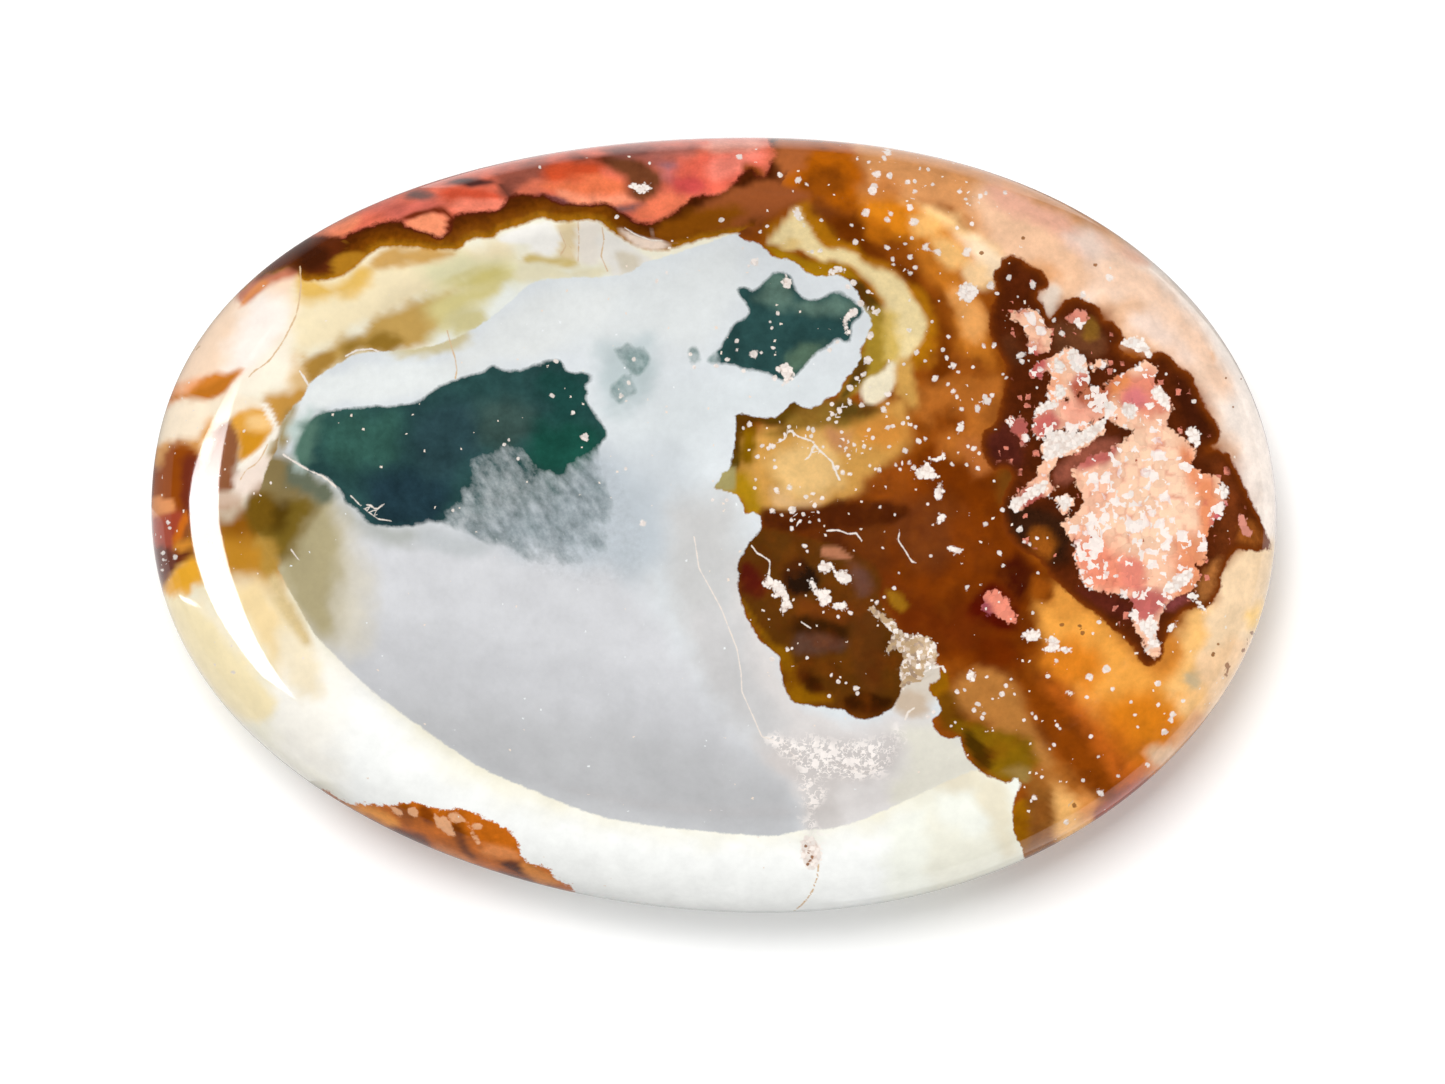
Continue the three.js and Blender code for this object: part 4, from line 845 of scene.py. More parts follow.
# White flecks, each with its radius
flecks = [
    (866, 213, 4), (887, 220, 4.5), (891, 214, 3.5), (914, 222, 5), (910, 207, 3.5), (852, 225, 2.2), (856, 242, 2.8),
    (887, 247, 3.6), (905, 244, 2), (912, 238, 2), (926, 246, 4.6), (938, 251, 4.4), (893, 259, 2.6), (894, 265, 2.6),
    (910, 257, 3.2), (915, 268, 2.8), (911, 273, 3.4), (967, 252, 4.6), (887, 152, 4.5), (884, 158, 3),
    (877, 175, 4.5), (889, 176, 3.4), (873, 190, 5), (857, 159, 2.2), (869, 162, 2.4), (907, 182, 2.8), (915, 181, 2),
    (933, 184, 2.4), (928, 169, 2), (920, 168, 1.8), (915, 191, 2.6), (960, 191, 3.4), (966, 199, 1.8),
    (970, 205, 1.8), (980, 197, 2.6), (986, 193, 2.2), (1005, 192, 2.4), (957, 228, 3), (972, 224, 2.4),
    (798, 180, 3.4), (806, 184, 2.6), (780, 175, 2.6), (722, 220, 2.6), (760, 232, 2), (767, 226, 1.8),
    (821, 220, 1.8), (740, 158, 3.6), (672, 241, 1.8), (617, 217, 2), (650, 163, 2), (540, 167, 1.8), (820, 251, 3),
    (812, 252, 2), (868, 292, 2), (876, 312, 4), (873, 308, 2.4), (861, 303, 3.4), (853, 282, 3.6), (848, 286, 2.4),
    (754, 262, 5.4), (749, 266, 2.6), (743, 248, 2), (667, 272, 3.2), (657, 281, 2.2), (754, 354, 4.4),
    (761, 353, 1.8), (775, 378, 3), (773, 348, 2), (737, 341, 2.2), (737, 350, 2.2), (778, 313, 2.2), (770, 322, 2),
    (772, 328, 1.8), (727, 360, 2.4), (830, 350, 2.2), (838, 342, 2.6), (716, 366, 2.4), (744, 370, 2.2),
    (870, 336, 4), (868, 360, 4.6), (863, 374, 3.4), (857, 378, 2.8), (850, 388, 3.6), (856, 386, 1.8), (888, 395, 4),
    (850, 402, 4), (862, 405, 2.8), (883, 410, 3.4), (888, 404, 2.2), (917, 353, 3.2), (910, 330, 2.6),
    (925, 361, 1.8), (932, 322, 1.8), (949, 337, 3), (904, 364, 1.8), (935, 378, 3.6), (953, 366, 3.6),
    (947, 358, 2.8), (943, 350, 2), (958, 372, 2.4), (948, 384, 2.4), (953, 391, 2.6), (957, 397, 2.4),
    (832, 404, 2.2), (832, 414, 3), (839, 410, 2.8), (829, 419, 2.6), (836, 422, 2.4), (842, 432, 1.8), (843, 439, 2),
    (846, 448, 1.8), (849, 455, 3), (854, 445, 2.2), (840, 446, 2.2), (837, 468, 2.6), (843, 472, 3), (850, 474, 2.6),
    (750, 424, 2.8), (743, 428, 1.8), (789, 427, 2), (785, 434, 2.4), (780, 440, 2.4), (792, 431, 1.8),
    (798, 436, 1.8), (762, 446, 2.6), (768, 448, 2.4), (773, 446, 2.8), (757, 457, 2.2), (774, 460, 2),
    (775, 467, 1.8), (808, 428, 2.6), (813, 430, 2.4), (811, 436, 2), (823, 447, 2), (756, 480, 2.4), (755, 488, 1.8),
    (776, 490, 3.6), (790, 487, 3.4), (806, 497, 2.6), (813, 494, 2.6), (822, 498, 2.6), (772, 511, 3.4),
    (782, 515, 2.2), (792, 509, 3.8), (791, 520, 2), (792, 528, 2.4), (803, 514, 2), (810, 522, 1.8), (815, 505, 2.4),
    (818, 512, 2), (819, 520, 2.2), (800, 521, 1.8), (869, 430, 2.4), (873, 437, 2.4), (888, 427, 3), (893, 426, 2.6),
    (903, 423, 2.2), (908, 418, 1.8), (916, 427, 2.6), (911, 424, 1.8), (864, 446, 2.6), (870, 449, 2.4),
    (905, 451, 3), (925, 438, 3), (918, 441, 3), (889, 447, 2), (870, 466, 2), (880, 470, 3), (875, 469, 2),
    (896, 465, 2.6), (900, 469, 2), (909, 462, 2.6), (914, 468, 2.6), (918, 473, 3), (952, 464, 2.2), (967, 465, 2),
    (978, 468, 2.8), (949, 438, 1.8), (968, 446, 2.4), (974, 449, 3), (979, 453, 2), (978, 409, 3.4), (961, 409, 2.8),
    (988, 401, 4), (992, 395, 2.6), (985, 397, 2.6), (994, 345, 3), (984, 346, 3), (973, 367, 1.8), (991, 285, 4.6),
    (1033, 285, 4.2), (997, 293, 1.8), (1018, 297, 1.8), (1009, 278, 3), (1083, 295, 4), (1088, 300, 2.4),
    (1054, 321, 3), (1062, 333, 3.2), (1021, 355, 4), (1022, 361, 3), (1006, 378, 2.6), (1003, 374, 1.8),
    (1037, 388, 1.8), (1040, 370, 3.4), (1110, 278, 4.6), (1194, 402, 2.6), (1166, 374, 1.8), (1115, 371, 1.8),
    (880, 507, 2.2), (895, 515, 1.8), (928, 504, 1.8), (883, 548, 1.8), (931, 556, 2), (899, 573, 2.4),
    (894, 588, 2.2), (805, 546, 3), (807, 551, 2), (884, 597, 1.8), (877, 602, 3), (851, 613, 2.6), (838, 617, 1.8),
    (831, 676, 2.6), (838, 681, 2.2), (846, 683, 1.8), (856, 688, 3.4), (858, 693, 2.4), (829, 696, 1.8),
    (787, 649, 2.8), (792, 648, 2), (807, 658, 1.8), (965, 690, 2.4), (957, 692, 2.6), (987, 677, 2.6),
    (978, 704, 2.8), (974, 710, 2.8), (984, 713, 2.2), (982, 718, 2.4), (1006, 685, 2.8), (1011, 680, 2.8),
    (1002, 694, 2.8), (1014, 694, 1.8), (993, 699, 1.8), (1032, 713, 2), (1036, 718, 2.2), (1024, 720, 1.8),
    (928, 717, 2.8), (934, 712, 2.6), (951, 726, 2), (955, 722, 1.8), (1056, 661, 3), (1106, 669, 3.6), (1090, 677, 4),
    (1048, 676, 2.4), (1070, 693, 4.4), (1112, 689, 2.4), (1087, 697, 2), (1158, 683, 3), (1131, 702, 2),
    (1158, 705, 2.4), (1135, 715, 2), (1172, 714, 3.4), (1171, 720, 2.8), (1183, 701, 2.2), (1138, 727, 1.8),
    (1165, 732, 3.2), (1091, 737, 2.4), (1057, 725, 2.2), (1060, 729, 1.8), (1098, 757, 2.2), (1119, 776, 2.2),
    (1148, 765, 2.8), (1100, 793, 3.6), (1083, 780, 2), (1034, 797, 3.4), (1031, 801, 2), (1066, 822, 3.6),
    (1042, 777, 2), (1054, 745, 2), (1050, 749, 1.8), (1099, 622, 2.4), (1093, 634, 2), (1033, 613, 1.8),
    (1000, 553, 3), (1003, 565, 2.8), (1038, 573, 2), (1024, 542, 2), (1030, 545, 2.6), (1037, 538, 2.2),
    (1020, 529, 3.6), (1002, 510, 2.4), (986, 524, 3), (994, 481, 1.8), (967, 587, 3.6), (168, 523, 2.2),
    (169, 528, 1.8), (175, 557, 3), (163, 553, 2.2), (164, 560, 2.2), (162, 570, 2), (244, 431, 2), (271, 483, 1.8),
    (233, 672, 2.4), (509, 440, 2.4), (504, 444, 2), (518, 459, 1.8), (552, 396, 2.6), (453, 510, 1.8),
    (573, 413, 2.2), (585, 437, 4), (556, 361, 2.4), (634, 359, 2.2), (629, 383, 2.4), (621, 397, 3.4),
    (626, 401, 1.8), (626, 469, 1.8), (643, 523, 3.6), (690, 354, 1.8), (694, 367, 2.2), (712, 500, 2),
    (727, 500, 1.8), (773, 659, 2.6),
]

# Fine lines, pale or brown: how wide, and the way they run
lines = {}
lines["paleLine"] = [
    (1.5, [(282, 454), (296, 463), (310, 471), (320, 475), (328, 480), (336, 487)]),
    (1.4, [(299, 370), (303, 376), (309, 386)]),
    (1.3, [(344, 357), (357, 350), (372, 349), (380, 352)]),
    (0.9, [(694, 536), (699, 568), (721, 608), (737, 649), (741, 672), (742, 692), (752, 714), (762, 737),
        (776, 740)]),
    (1.6, [(806, 440), (812, 441), (818, 449), (826, 456), (832, 462), (836, 472), (840, 481)]),
    (1.4, [(813, 446), (810, 456), (804, 461)]),
    (1.2, [(776, 444), (786, 438), (788, 428), (797, 436), (812, 441)]),
    (1.1, [(824, 531), (838, 530), (848, 534), (856, 533), (862, 541)]),
    (1.1, [(751, 545), (757, 553), (764, 557), (770, 561), (769, 575)]),
    (1, [(801, 622), (812, 629)]),
    (1.4, [(905, 720), (908, 712), (916, 707)]),
    (1.3, [(872, 612), (884, 618), (890, 628), (898, 632)]),
    (1.6, [(903, 672), (915, 668), (924, 672), (932, 668), (942, 666), (946, 673)]),
    (1.2, [(365, 505), (370, 505), (376, 510), (384, 504)]),
    (1, [(350, 495), (362, 507), (378, 519), (392, 521)]),
    (1, [(290, 548), (295, 555), (299, 560)]),
    (1, [(900, 530), (898, 540), (906, 552), (912, 562), (918, 563)]),
    (1.2, [(622, 226), (636, 235), (650, 240), (664, 241)]),
]
lines["brownLine"] = [
    (1.1, [(300, 266), (301, 285), (299, 302), (296, 316), (290, 328), (286, 336), (282, 343), (275, 353), (270, 360),
        (261, 367), (254, 371), (248, 378)]),
    (0.9, [(447, 330), (451, 345), (455, 358), (457, 370), (455, 380)]),
    (1.2, [(819, 862), (817, 878), (812, 892), (804, 903), (794, 911)]),
    (0.9, [(602, 226), (604, 240), (601, 256), (608, 272)]),
    (0.8, [(578, 222), (579, 240), (578, 262)]),
    (0.9, [(560, 232), (566, 246), (560, 256)]),
    (0.9, [(268, 444), (262, 456), (256, 464), (246, 470), (240, 480)]),
    (1.2, [(196, 350), (202, 344)]),
    (1, [(1068, 806), (1074, 800)]),
]

# Small brown specks in the pale stone
brownFlecks = [
    (1227, 665, 3.2), (1226, 675, 2.4), (1218, 644, 1.8), (1243, 650, 2.4), (1213, 655, 1.8), (1252, 633, 2.4),
    (1080, 626, 2.4), (1082, 633, 2.4), (1062, 625, 2), (1074, 805, 2.6), (982, 253, 2), (1095, 265, 2.4),
    (1226, 378, 1.4), (1241, 379, 1.4), (1233, 407, 1.4), (1023, 238, 2.2), (806, 846, 1.8), (812, 857, 2.2),
    (808, 864, 1.8),
]

# How the markings are laid on the mesh. Lengths are pixels of the photograph.
marking = {
    "reach": 48,  # how far off a mineral's border is measured
    "underPixels": (2.2, 1.4),  # how far a marking runs sideways in the picture for each millimetre under the rim
    "underRipple": {"size": 3, "lengths": (300, 260)},  # and how it wanders there
    "ripples": 5,  # the edges of tints wander in so many ways, in turn
    "rippleLengths": (34, 13),
    "wander": ((0.4, 4), (0.25, 1.6)),  # for each of those lengths, the share of an edge's fade and the most it adds
    "margin": 8,  # how far outside its fade a tint's edge is still measured
    "dotReach": 4.5,  # and a fleck's and a line's
    "lineReach": 5.0,
    "fleckLayers": 3,
    "speck": (0.2, 0.06),  # the smallest of specks beside the largest, and how soft their edge is
    "fleck": (3.6, -0.9, 2.8),  # noise times the first plus the second gives a fleck's radii, and its edge's sharpness
    "line": (3.0, -0.9),  # and the same for a line's width
}


def rounded(ring, between=3):
    # the same outline with points put in between, on a smooth curve through its own
    ring = np.array(ring, float)
    before, after, beyond = np.roll(ring, 1, 0), np.roll(ring, -1, 0), np.roll(ring, -2, 0)
    parts = []
    for step in range(between):
        t = step / between
        parts.append(0.5 * (2 * ring + (after - before) * t + (2 * before - 5 * ring + 4 * after - beyond) * t ** 2
                            + (3 * ring - before - 3 * after + beyond) * t ** 3))
    return np.stack(parts, 1).reshape(-1, 2)


def distanceInside(at, ring, farthest):
    # pixels to the outline, positive inside
    ring = rounded(ring)
    low, high = ring.min(0) - farthest, ring.max(0) + farthest
    near = np.flatnonzero(((at > low) & (at < high)).all(1))
    p = at[near]
    best = np.full(len(p), float(farthest) ** 2)
    inside = np.zeros(len(p), bool)
    for a, b in zip(ring, np.roll(ring, -1, 0)):
        edge, away = b - a, p - a
        t = np.clip(away @ edge / max(edge @ edge, 1e-9), 0, 1)
        best = np.minimum(best, ((away - t[:, None] * edge) ** 2).sum(1))
        if a[1] != b[1]:
            crosses = (a[1] > p[:, 1]) != (b[1] > p[:, 1])
            inside ^= crosses & (p[:, 0] < edge[0] * (p[:, 1] - a[1]) / edge[1] + a[0])
    result = np.full(len(at), -float(farthest))
    result[near] = np.sqrt(best) * np.where(inside, 1, -1)
    return result


def ripple(at, length, seed):
    # a seeded, smooth unevenness of about the given wavelength, mostly between -1 and 1
    rng = np.random.default_rng(seed)
    total = np.zeros(len(at))
    for _ in range(10):
        turn, size, start = rng.uniform(0, 2 * math.pi), length * rng.uniform(0.6, 1.8), rng.uniform(0, 2 * math.pi)
        total += np.sin((at @ np.array([math.cos(turn), math.sin(turn)])) * 2 * math.pi / size + start)
    return total / 4


def linear(colour):
    c = np.array(colour, float) / 255
    return np.where(c <= 0.04045, c / 12.92, ((c + 0.055) / 1.055) ** 2.4)


def worth(value):
    return linear(value) if isinstance(value, tuple) else np.array([value], float)


def uneven(at, seed):
    # the ripples that tints' edges wander by, broad ones and fine ones
    broad, fine = marking["rippleLengths"]
    return [(ripple(at, broad, seed + i), ripple(at, fine, seed + 20 + i)) for i in range(marking["ripples"])]


def cover(at, ring, fade, ripples):
    # how much a tint or a patch covers, and where its outline is near enough to be measured
    farthest = 2 * fade + marking["margin"]
    measured = inside = distanceInside(at, ring, farthest)
    for wave, (share, most) in zip(ripples, marking["wander"]):
        inside = inside + wave * min(fade * share, most)
    t = np.clip(inside / (2 * fade) + 0.5, 0, 1)
    return (t * t * (3 - 2 * t))[:, None], (measured > 1 - farthest)[:, None]


def blended(at, layers, ripples):
    result = np.tile(worth(layers[0][0]), (len(at), 1))
    for i, (value, fade, ring) in enumerate(layers[1:]):
        share, _ = cover(at, ring, fade, ripples[i % len(ripples)])
        result = result * (1 - share) + worth(value) * share
    return result


def patched(at, ripples):
    # the colour of the patches and, as a fourth value, how much they cover
    colour, total = np.zeros((len(at), 3)), np.zeros((len(at), 1))
    for i, (tint, fade, ring) in enumerate(patches):
        share, near = cover(at, ring, fade, ripples[i % len(ripples)])
        both = share + total * (1 - share)
        part = np.where(near, np.where(both > 0, share / np.maximum(both, 1e-6), 1), 0)
        colour, total = colour * (1 - part) + linear(tint) * part, both
    return np.hstack([colour, total])


def nearestDot(at, dots):
    # the way from the nearest dot in its own radii, and 1 where the dot is near enough to count
    best, result = np.full(len(at), 1e9), np.zeros((len(at), 3))
    for x, y, radius in dots:
        away = at - (x, y)
        gap = np.hypot(away[:, 0], away[:, 1]) - radius
        near = gap < best
        best[near] = gap[near]
        result[near, :2] = away[near] / radius
        result[near, 2] = gap[near] < marking["dotReach"]
    return result


def nearestLine(at, strokes):
    # how far off the nearest line is, with its side as the sign, and half its width where it is beside the place
    reach = marking["lineReach"]
    best, result = np.full(len(at), reach), np.tile([0.0, -6.0, 0.0], (len(at), 1))
    for half, points in strokes:
        points = np.array(points, float)
        last = len(points) - 2
        near = np.flatnonzero(((at > points.min(0) - reach) & (at < points.max(0) + reach)).all(1))
        for i, (a, b) in enumerate(zip(points, points[1:])):
            edge, away = b - a, at[near] - a
            t = away @ edge / (edge @ edge)
            off = away - np.clip(t, 0, 1)[:, None] * edge
            gap = np.hypot(off[:, 0], off[:, 1])
            side = np.sign(edge[0] * away[:, 1] - edge[1] * away[:, 0])
            closer = gap < best[near]
            ends = ((i == 0) & (t < 0)) | ((i == last) & (t > 1))
            chosen = near[closer]
            best[chosen] = gap[closer]
            result[chosen, 0] = (gap * side)[closer]
            result[chosen, 1] = np.where(ends, -1, half)[closer]
    return result


def inLayers(dots, count):
    # dots that stand close together go to different layers, because the mesh blurs what lies between two of one layer
    layers = [[] for _ in range(count)]
    for x, y, radius in dots:
        room = [min([math.hypot(x - u, y - v) - r for u, v, r in layer], default=1e9) for layer in layers]
        layers[room.index(max(room))].append((x, y, radius))
    return layers


def markStone(piece):
    mesh = piece.data
    co = vertexValues(mesh, "co")
    at = toPicture(co)
    # under the widest line the seams dip and wander
    below = np.clip(bowl["widestHeight"] - co[:, 2] / mm, 0, None)
    deep = np.where(vertexValues(mesh, "normal")[:, 2] < 0, below, 0)
    under = marking["underRipple"]
    for axis, (slope, length) in enumerate(zip(marking["underPixels"], under["lengths"])):
        at[:, axis] += deep * (slope + under["size"] * ripple(at, length, 3 + axis))

    def keep(name, kind, key, values):
        values = np.ascontiguousarray(values, np.float32).ravel()
        mesh.attributes.new(name, kind, "POINT").data.foreach_set(key, values)

    for zone, rings in places.items():
        keep(zone, "FLOAT", "value", np.max([distanceInside(at, ring, marking["reach"]) for ring in rings], 0))
    ones = np.ones((len(at), 1))
    for i, (name, layers) in enumerate(tints.items()):
        keep(name, "FLOAT_COLOR", "color", np.hstack([blended(at, layers, uneven(at, 100 * i)), ones]))
    ripples = uneven(at, 900)
    keep("patchTint", "FLOAT_COLOR", "color", patched(at, ripples))
    keep("amounts", "FLOAT_COLOR", "color", np.hstack([*(blended(at, a, ripples) for a in amounts.values()), ones]))
    for i, dots in enumerate(inLayers(flecks, marking["fleckLayers"])):
        keep(f"fleck{i}", "FLOAT_VECTOR", "vector", nearestDot(at, dots))
    keep("brownFleck", "FLOAT_VECTOR", "vector", nearestDot(at, brownFlecks))
    for name, strokes in lines.items():
        keep(name, "FLOAT_VECTOR", "vector", nearestLine(at, strokes))


def newGroup(name, *outputs, **inputs):
    # an input without a value is a vector, and all else are numbers
    group = bpy.data.node_groups.new(name, "ShaderNodeTree")
    for key, value in inputs.items():
        kind = "NodeSocketVector" if value is None else "NodeSocketFloat"
        socket = group.interface.new_socket(name=key, in_out="INPUT", socket_type=kind)
        if value is not None:
            socket.default_value = value
    for key in outputs:
        group.interface.new_socket(name=key, in_out="OUTPUT", socket_type="NodeSocketFloat")
    return group, group.nodes.new("NodeGroupInput").outputs, group.nodes.new("NodeGroupOutput").inputs


def add(tree, kind, settings=None, **inputs):
    # a node with its settings, and its inputs by name or as i0, i1 and so on, each a value or another node's output
    node = tree.nodes.new(kind)
    for key, value in (settings or {}).items():
        setattr(node, key, value)
    for key, value in inputs.items():
        numbered = key[0] == "i" and key[1:].isdigit()
        socket = node.inputs[int(key[1:]) if numbered else key.replace("_", " ")]
        if isinstance(value, bpy.types.NodeSocket):
            tree.links.new(value, socket)
        else:
            socket.default_value = value
    return node


def calc(tree, operation, *values):
    inputs = {f"i{i}": value for i, value in enumerate(values)}
    return add(tree, "ShaderNodeMath", {"operation": operation}, **inputs).outputs[0]


def clamped(tree, value):
    return add(tree, "ShaderNodeClamp", Value=value).outputs[0]


def mixed(tree, factor, a, b, blend="MIX"):
    return add(tree, "ShaderNodeMix", {"data_type": "RGBA", "blend_type": blend}, i0=factor, i6=a, i7=b).outputs[2]


def parts(tree, colour):
    return add(tree, "ShaderNodeSeparateColor", Color=colour).outputs


def raggedEdgeGroup():
    group, given, result = newGroup("ragged edge", "Mask", "Depth", Distance=0.0, Wobble=0.5, Amount=4.0, Softness=2.0)
    centred = calc(group, "SUBTRACT", given["Wobble"], 0.5)
    depth = calc(group, "MULTIPLY_ADD", centred, given["Amount"], given["Distance"])
    soft = calc(group, "DIVIDE", depth, given["Softness"])
    group.links.new(clamped(group, calc(group, "ADD", soft, 0.5)), result["Mask"])
    group.links.new(depth, result["Depth"])
    return group


def speckleGroup():
    group, given, result = newGroup("speckle", "Mask", Vector=None, Scale=400.0, Density=0.3, Size=0.3)
    smallest, softness = marking["speck"]
    cells = add(group, "ShaderNodeTexVoronoi", {"distance": "CHEBYCHEV"}, Vector=given["Vector"], Scale=given["Scale"])
    split = parts(group, cells.outputs["Color"])
    radius = calc(group, "MULTIPLY", given["Size"], calc(group, "MULTIPLY_ADD", split[1], 1 - smallest, smallest))
    room = calc(group, "SUBTRACT", radius, cells.outputs["Distance"])
    chosen = calc(group, "LESS_THAN", split[0], given["Density"])
    sharp = clamped(group, calc(group, "DIVIDE", room, softness))
    group.links.new(calc(group, "MULTIPLY", sharp, chosen), result["Mask"])
    return group


def fleckGroup():
    group, given, result = newGroup("fleck", "Mask", Away=None, Wobble=0.5)
    wobble, base, sharpness = marking["fleck"]
    split = add(group, "ShaderNodeSeparateXYZ", Vector=given["Away"]).outputs
    squares = [calc(group, "MULTIPLY", split[axis], split[axis]) for axis in range(2)]
    away = calc(group, "SQRT", calc(group, "ADD", *squares))
    size = calc(group, "MULTIPLY_ADD", given["Wobble"], wobble, base)
    dot = clamped(group, calc(group, "MULTIPLY", calc(group, "SUBTRACT", size, away), sharpness))
    group.links.new(calc(group, "MULTIPLY", dot, calc(group, "GREATER_THAN", split[2], 0.5)), result["Mask"])
    return group


def lineGroup():
    group, given, result = newGroup("fine line", "Mask", Beside=None, Wobble=0.5)
    wobble, base = marking["line"]
    split = add(group, "ShaderNodeSeparateXYZ", Vector=given["Beside"]).outputs
    half = calc(group, "MULTIPLY", split[1], calc(group, "MULTIPLY_ADD", given["Wobble"], wobble, base))
    room = calc(group, "SUBTRACT", half, calc(group, "ABSOLUTE", split[0]))
    line = clamped(group, calc(group, "ADD", room, 0.5))
    group.links.new(calc(group, "MULTIPLY", line, calc(group, "GREATER_THAN", split[1], 0.3)), result["Mask"])
    return group


# The stone's shader. Each noise has three channels, which are called by its name and 0, 1 or 2.
stone = {
    "roughness": 0.07,
    "pitRoughness": 0.5,
    "ior": 1.54,
    # how many millimetres a noise is across, how detailed it is and how rough
    "noises": {
        "cloud": (14, 4, 0.5), "wave": (3.2, 4, 0.5), "grain": (0.9, 3, 0.5), "dust": (0.35, 2, 0.5),
        "rough": (0.9, 5, 0.72),
    },
    "crumb": 1.3,  # millimetres across one crumb of the pink
    "grit": 0.6,  # and across one grain of what is chalky white
    "warp": 0.7,  # millimetres that the noise moves both by
    # noises made of two others, with the share of each; the gaps are the distances to the crumbs' and grains' middles
    "mixtures": {
        "jagged": ("rough2", 0.45, "grain0", 0.6),
        "wander": ("wave1", 0.6, "rough2", 0.4),
        "crumbly": ("crumbGap", 0.6, "lumpy", 0.5),
    },
    # the noises that shade a mineral, each with what its darkest and its palest places are multiplied by
    "shades": {
        "chalk": [("grit0", 0.9, 1.02)],
        "outer": [("wave0", 0.95, 1.03), ("rough0", 0.975, 1.02)],
        "hollow": [("cloud1", 0.94, 1.05), ("wave1", 0.965, 1.03), ("rough1", 0.965, 1.02)],
        "green": [("wave0", 1.05, 1.6), ("rough2", 0.88, 1.14)],
        "frost": [("rough2", 0.9, 1.05)],
        "seam": [("grain1", 0.8, 1.2)],
        "red": [("wave1", 0.78, 1.16), ("dust0", 0.95, 1.05)],
        "warm": [("wave1", 0.88, 1.1)],
        "warmGrain": [("rough0", 0.93, 1.07)],
        "maroon": [("wave0", 0.75, 1.2), ("rough2", 0.8, 1.2)],
        "looseCrumb": [("grit0", 0.8, 1.1)],
        "pink": [("crumb0", 0.93, 1.06), ("rough0", 0.93, 1.06)],
        "pinkChalk": [("grit0", 0.94, 1.03)],
        "rust": [("wave2", 0.82, 1.15), ("rough0", 0.86, 1.14)],
        "rustFlake": [("rough1", 0.86, 1.1)],
        "patch": [("rough1", 0.93, 1.07)],
        "web": [("grit0", 0.95, 1.02)],
        "fleck": [("grit0", 0.84, 1.02)],
    },
    # what makes a mineral's border ragged, by how many pixels, and over how many it fades
    "borders": {
        "hollow": ("rough1", 6, 1.8),
        "green": ("wander", 13, 3.6),
        "seam": ("jagged", 7, 3.5),
        "red": ("rough1", 10, 1.6),
        "warm": ("jagged", 9, 1.8),
        "maroon": ("jagged", 11, 2.4),
        "pink": ("crumbly", -12, 2),
        "rust": ("rough1", 16, 2),
        "rustFlake": ("rough0", 8, 1.6),
        "web": ("wave1", 40, 12),
        "white": ("lumpy", -6, 1.6),
        "crust": ("lumpy", -6, 1.6),
    },
    # how many millimetres apart specks are, how big within that and, where it is the same all over, what share shows
    "speckles": {"hollow": (1.1, 0.16, 0.1), "loose": (1.3, 0.42), "pink": (0.9, 0.22, 0.06), "all": (0.8, 0.24)},
    # the feathers of frost over the green: how large and fine their noise is, how they slant and how long they are
    "frost": {"noise": (1.3, 5), "slant": 0.65, "length": 2.2, "plume": 2.9, "grain": 1.2, "middle": 2.05,
              "half": 0.6, "amount": 4.0, "contrast": 0.42},
    # blots in the dark of the warm jasper: the noise, where they begin and are full, and how much they cover
    "blots": {"darkBlot": ("wave2", 0.46, 0.7, 0.5), "paleBlot": ("wave0", 0.5, 0.76, 0.2)},
    # the colours that are the same wherever they show
    "colours": {
        # on the next line, the colour of the gaps between the chalky grains is painted shade
        "chalk": (248, 238, 230), "chalkGrainShade": (214, 190, 176), "hollowSpeck": (240, 243, 244), "redRim": (84, 30, 12),
        "darkBlot": (88, 36, 6), "paleBlot": (160, 80, 14), "looseCrumb": (214, 128, 108), "pinkChalk": (250, 236, 228),
        # on the next line, the colour of the gaps between the pink crumbs is painted shade
        "pinkCrumbShade": (206, 112, 92), "pinkSpeck": (170, 84, 60), "rustFlake": (232, 172, 128), "web": (248, 241, 236),
        "paleLine": (236, 226, 216), "brownLine": (216, 184, 146), "speck": (238, 224, 210), "fleck": (243, 232, 224),
        "brownFleck": (150, 96, 50), "pitShade": (186, 156, 118), "pitSpeck": (166, 140, 116),
    },
    # and those that change with the depth inside a border
    "seamDepths": [(0, (200, 150, 66)), (0.1, (160, 104, 16)), (0.3, (120, 64, 6)), (0.6, (84, 38, 6)),
                   (1, (70, 28, 6))],
    "maroonDepths": [(0, (124, 56, 12)), (1, (98, 42, 8))],
    "bump": {"strength": 0.35, "millimetres": 0.4, "cloud": 0.1},
}


def rgba(colour):
    return (*linear(colour), 1)


